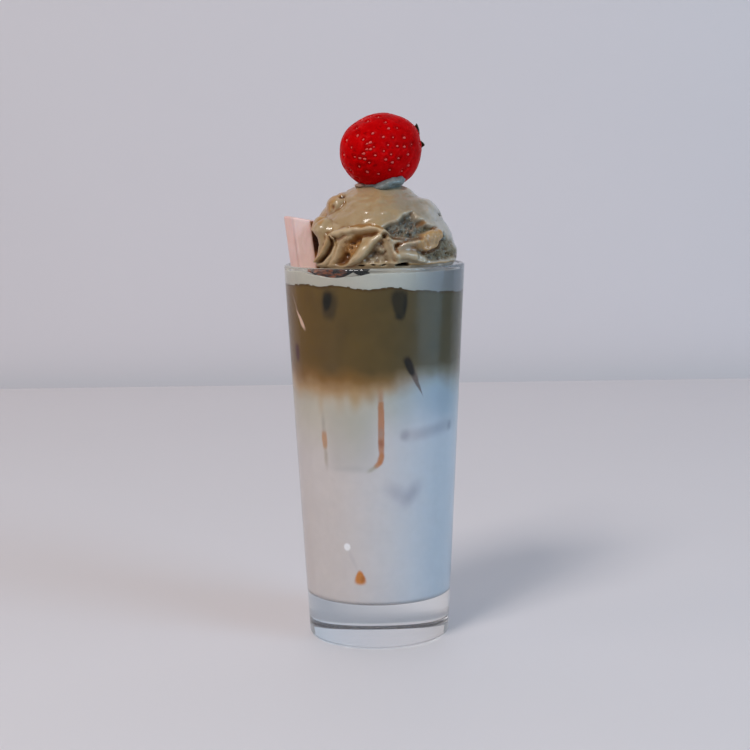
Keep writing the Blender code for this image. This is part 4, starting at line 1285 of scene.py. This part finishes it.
makeStrawberry()


# Calyx: one leaf is shaped from a plane and copied round the stalk

calyx = {
    "reach": 11.0 * mm,
    "shares": (1.0, 1.0, 1.0, 1.06, 0.86, 0.72, 0.88, 1.0, 0.95),    # how long each leaf is
    "turn": 0.24,
    "curl": 1.4 * mm,
    "lift": 0.7 * mm,
    "thickness": 0.45 * mm,
    "stalkRadius": 1.3 * mm,
    "stalkHeight": 3.0 * mm,
    "leafWide": 2.3 * mm,
    "leafColours": ((36, 58, 20), (17, 34, 9)),
    "ribColour": (74, 92, 40),
}


def leafHeight(radius):
    above = berry["length"] * berry["shoulder"]
    share = np.clip(radius / berry["radius"], 0.0, 1.0) ** (1 / berry["topPower"])
    drop = above * (1.0 - np.sqrt(np.maximum(1.0 - share * share, 0.0)))
    return above + (berry["length"] - 2 * above) / 2 - drop


def leafFinish():
    finish, tree, shader, place = newFinish("leafFinish", Roughness=0.5)
    rib = fade(tree, attribute(tree, "rib"), 0.5, 1.0, 0.0, 0.6)
    tone = mixColours(tree, noiseNode(tree, place, 350.0, 4.0), *calyx["leafColours"])
    tone = mixColours(tree, rib, tone, calyx["ribColour"])
    colourAndBump(tree, shader, tone, noiseNode(tree, place, 1400.0, 3.0), 0.3, 0.0003)
    return finish


def makeLeaf(number):
    selectNothing()
    bpy.ops.mesh.primitive_grid_add(x_subdivisions=22, y_subdivisions=10, size=2)
    leaf = bpy.context.object
    flat = readPoints(leaf)
    along = (flat[:, 0] + 1) / 2
    side = flat[:, 1]
    reach = calyx["reach"] * calyx["shares"][number] * (1.0 + 0.10 * math.sin(number * 2.4))
    radius = calyx["stalkRadius"] * 0.6 + (reach - calyx["stalkRadius"] * 0.6) * along
    width = (calyx["leafWide"] * np.sin(np.pi * np.clip(along * 0.86 + 0.14, 0, 1)) ** 0.75
             * (1.05 - 0.35 * along) + 0.12 * mm)
    teeth = 1.0 + 0.06 * np.sin(along * 38 + number)
    across = side * width * teeth
    curl = calyx["curl"] * (radius / calyx["reach"]) ** 3 * (1.0 + 0.5 * math.sin(number * 3.7))
    rise = leafHeight(np.hypot(radius, across)) + calyx["lift"] + curl
    rise += 0.35 * mm * np.abs(side) ** 1.5 + 0.25 * mm * np.sin(along * 9 + number) * side
    turn = calyx["turn"] + math.tau * number / len(calyx["shares"]) + 0.08 * math.sin(number * 5.1)
    points = np.stack([radius * math.cos(turn) - across * math.sin(turn),
                       radius * math.sin(turn) + across * math.cos(turn), rise], 1)
    writePoints(leaf, points)
    midRib = easeStep(1 - np.abs(side) * 4)
    sideRibs = 0.6 * easeStep(np.cos(along * 40 - np.abs(side) * 6) * 2 - 1)
    writeAttribute(leaf, "rib", np.maximum(midRib, sideRibs))
    applyModifier(leaf, "SOLIDIFY", thickness=calyx["thickness"], offset=0.0)
    return leaf


def makeCalyx():
    leaves = [makeLeaf(number) for number in range(len(calyx["shares"]))]
    selectNothing()
    top = float(leafHeight(0.0)) + calyx["lift"]
    bpy.ops.mesh.primitive_cylinder_add(vertices=20, radius=calyx["stalkRadius"], depth=calyx["stalkHeight"],
                                        location=(0, 0, top + calyx["stalkHeight"] / 2 - 0.2 * mm))
    stalk = bpy.context.object
    placeInMesh(stalk)
    bpy.ops.object.mode_set(mode="EDIT")
    bpy.ops.mesh.select_all(action="SELECT")
    bpy.ops.mesh.subdivide(number_cuts=3)
    bpy.ops.object.mode_set(mode="OBJECT")
    points = readPoints(stalk)
    up = (points[:, 2] - top) / calyx["stalkHeight"]
    grow = 1.25 - 0.35 * np.clip(up, 0, 1) + 0.12 * noiseAt(points, 1.2 * mm, 2.0)
    points[:, :2] *= grow[:, None]
    writePoints(stalk, points)
    applyModifier(stalk, "BEVEL", width=0.2 * mm, segments=2, limit_method="ANGLE")
    writeAttribute(stalk, "rib", np.full(len(stalk.data.vertices), 0.75))
    piece = joinPieces([stalk] + leaves, "calyxLeaves")
    piece.data.transform(berryTurn())
    shadeSmooth(piece, 50)
    dressPiece(piece, leafFinish(), "calyx")


makeCalyx()


# Wafer stick: its outline is drawn up, leaned, bevelled and given its uneven coating

stick = {
    "outline": [(-33.3, 2.3), (-33.0, -1.6), (-30.3, -4.6), (-22.7, -4.8), (-20.2, 3.2), (-22.0, 5.0),
                (-31.6, 4.9)],
    "lean": 0.122,
    "top": 169.0 * mm,
    "length": 62.0 * mm,
    "drop": 1.6 * mm,
    "bevel": 0.7 * mm,
    "voxel": 0.35 * mm,
    "leanFrom": 150,        # the outline is true at this height, in mm
    "seamAt": -29.6,
    "faceFrom": -29.4,
    "side": ((230, 190, 182), (236, 202, 196)),
    # the same coating painted lighter on the front face, as painted light
    "face": ((246, 206, 198), (252, 220, 212)),
    "cloud": (232, 186, 172),
    # the side facing right: partly bare wafer, partly painted shade with warm light from the ice cream
    "bakedAndShaded": ((178, 116, 66), (204, 152, 104)),
    # painted shade: dark red-brown where the gap beside the scoop is
    "gapShade": ((70, 16, 12), (134, 62, 28)),
    "gapShadeLow": (153 * mm, 156 * mm),
    "gapShadeHigh": (163 * mm, 160 * mm),
}


def stickFinish():
    finish, tree, shader, place = newFinish("coatingFinish", Roughness=0.5, Subsurface_Weight=0.1,
                                            Subsurface_Scale=0.001)
    streaks = noiseNode(tree, stretchPlace(tree, place, 0.25), 500.0, 3.0)
    clouds = noiseNode(tree, place, 180.0, 4.0)
    high = axisValue(tree, place, 2)
    tone = mixColours(tree, streaks, *stick["side"])
    # painted light: the front face lighter than the strip at its left
    tone = mixColours(tree, attribute(tree, "face"), tone, mixColours(tree, streaks, *stick["face"]))
    tone = mixColours(tree, fade(tree, clouds, 0.4, 0.8, 0.0, 0.35), tone, stick["cloud"])
    # the right side: partly bare wafer, partly painted shade
    bakedAndShaded = mixColours(tree, streaks, *stick["bakedAndShaded"])
    # painted shade of the gap beside the scoop
    gapShade = maths(tree, "MULTIPLY", fade(tree, high, *stick["gapShadeLow"]),
                  fade(tree, high, *stick["gapShadeHigh"]))
    bakedAndShaded = mixColours(tree, gapShade, bakedAndShaded, mixColours(tree, clouds, *stick["gapShade"]))
    tone = mixColours(tree, attribute(tree, "bareAndShaded"), tone, bakedAndShaded)
    colourAndBump(tree, shader, tone, maths(tree, "ADD", streaks, clouds), 0.25, 0.0004)
    return finish


def makeStick():
    selectNothing()
    outline = stick["outline"]
    bpy.ops.mesh.primitive_circle_add(vertices=len(outline), radius=5 * mm, fill_type="NGON")
    piece = bpy.context.object
    piece.name = "waferStick"
    placeInMesh(piece)
    low = stick["top"] - stick["length"]
    centre = sum(x for x, y in outline) / len(outline)
    ring = readPoints(piece)
    shift = -stick["lean"] * (low - glass["height"])
    for i, (x, y) in enumerate(outline):
        ring[i] = (x * mm + shift, y * mm, low)
    writePoints(piece, ring)
    makeActive(piece)
    bpy.ops.object.mode_set(mode="EDIT")
    bpy.ops.mesh.select_all(action="SELECT")
    rise = (-stick["lean"] * stick["length"], 0, stick["length"])
    bpy.ops.mesh.extrude_region_move(TRANSFORM_OT_translate={"value": rise})
    faceOutwards()
    points = readPoints(piece)
    shift = -stick["lean"] * (stick["top"] - glass["height"]) / mm
    right = (points[:, 0] / mm - shift - centre) / 5.0
    points[:, 2] -= np.where(points[:, 2] > glass["height"], stick["drop"] * np.maximum(right, 0.0), 0.0)
    writePoints(piece, points)
    applyModifier(piece, "BEVEL", width=stick["bevel"], segments=3, limit_method="NONE")
    applyModifier(piece, "REMESH", mode="VOXEL", voxel_size=stick["voxel"])
    applyModifier(piece, "SMOOTH", factor=0.5, iterations=3)
    points = readPoints(piece)
    normals = readNormals(piece)
    high = points[:, 2] / mm
    lean = stick["lean"] * (high - stick["leanFrom"])
    seam = np.exp(-((points[:, 0] / mm + lean - stick["seamAt"]) / 0.35) ** 2) * (normals[:, 1] < -0.3)
    rough = noiseAt(points, 1.6 * mm, 3.0) * 0.07
    rough += noiseAt(points * (1, 1, 0.3), 0.9 * mm, 5.0) * 0.06
    points += normals * ((rough - seam * 0.22) * mm)[:, None]
    writePoints(piece, points)
    writeAttribute(piece, "face", easeStep((points[:, 0] / mm + lean - stick["faceFrom"]) / 0.5))
    # the right-facing side, partly bare wafer and partly painted shade
    bareAndShaded = easeStep((normals[:, 0] - 0.62) / 0.2) * easeStep((normals[:, 2] + 0.6) * 3)
    writeAttribute(piece, "bareAndShaded", bareAndShaded * (normals[:, 2] < 0.6))
    shadeSmooth(piece, 60)
    dressPiece(piece, stickFinish(), "wafer_stick")


makeStick()
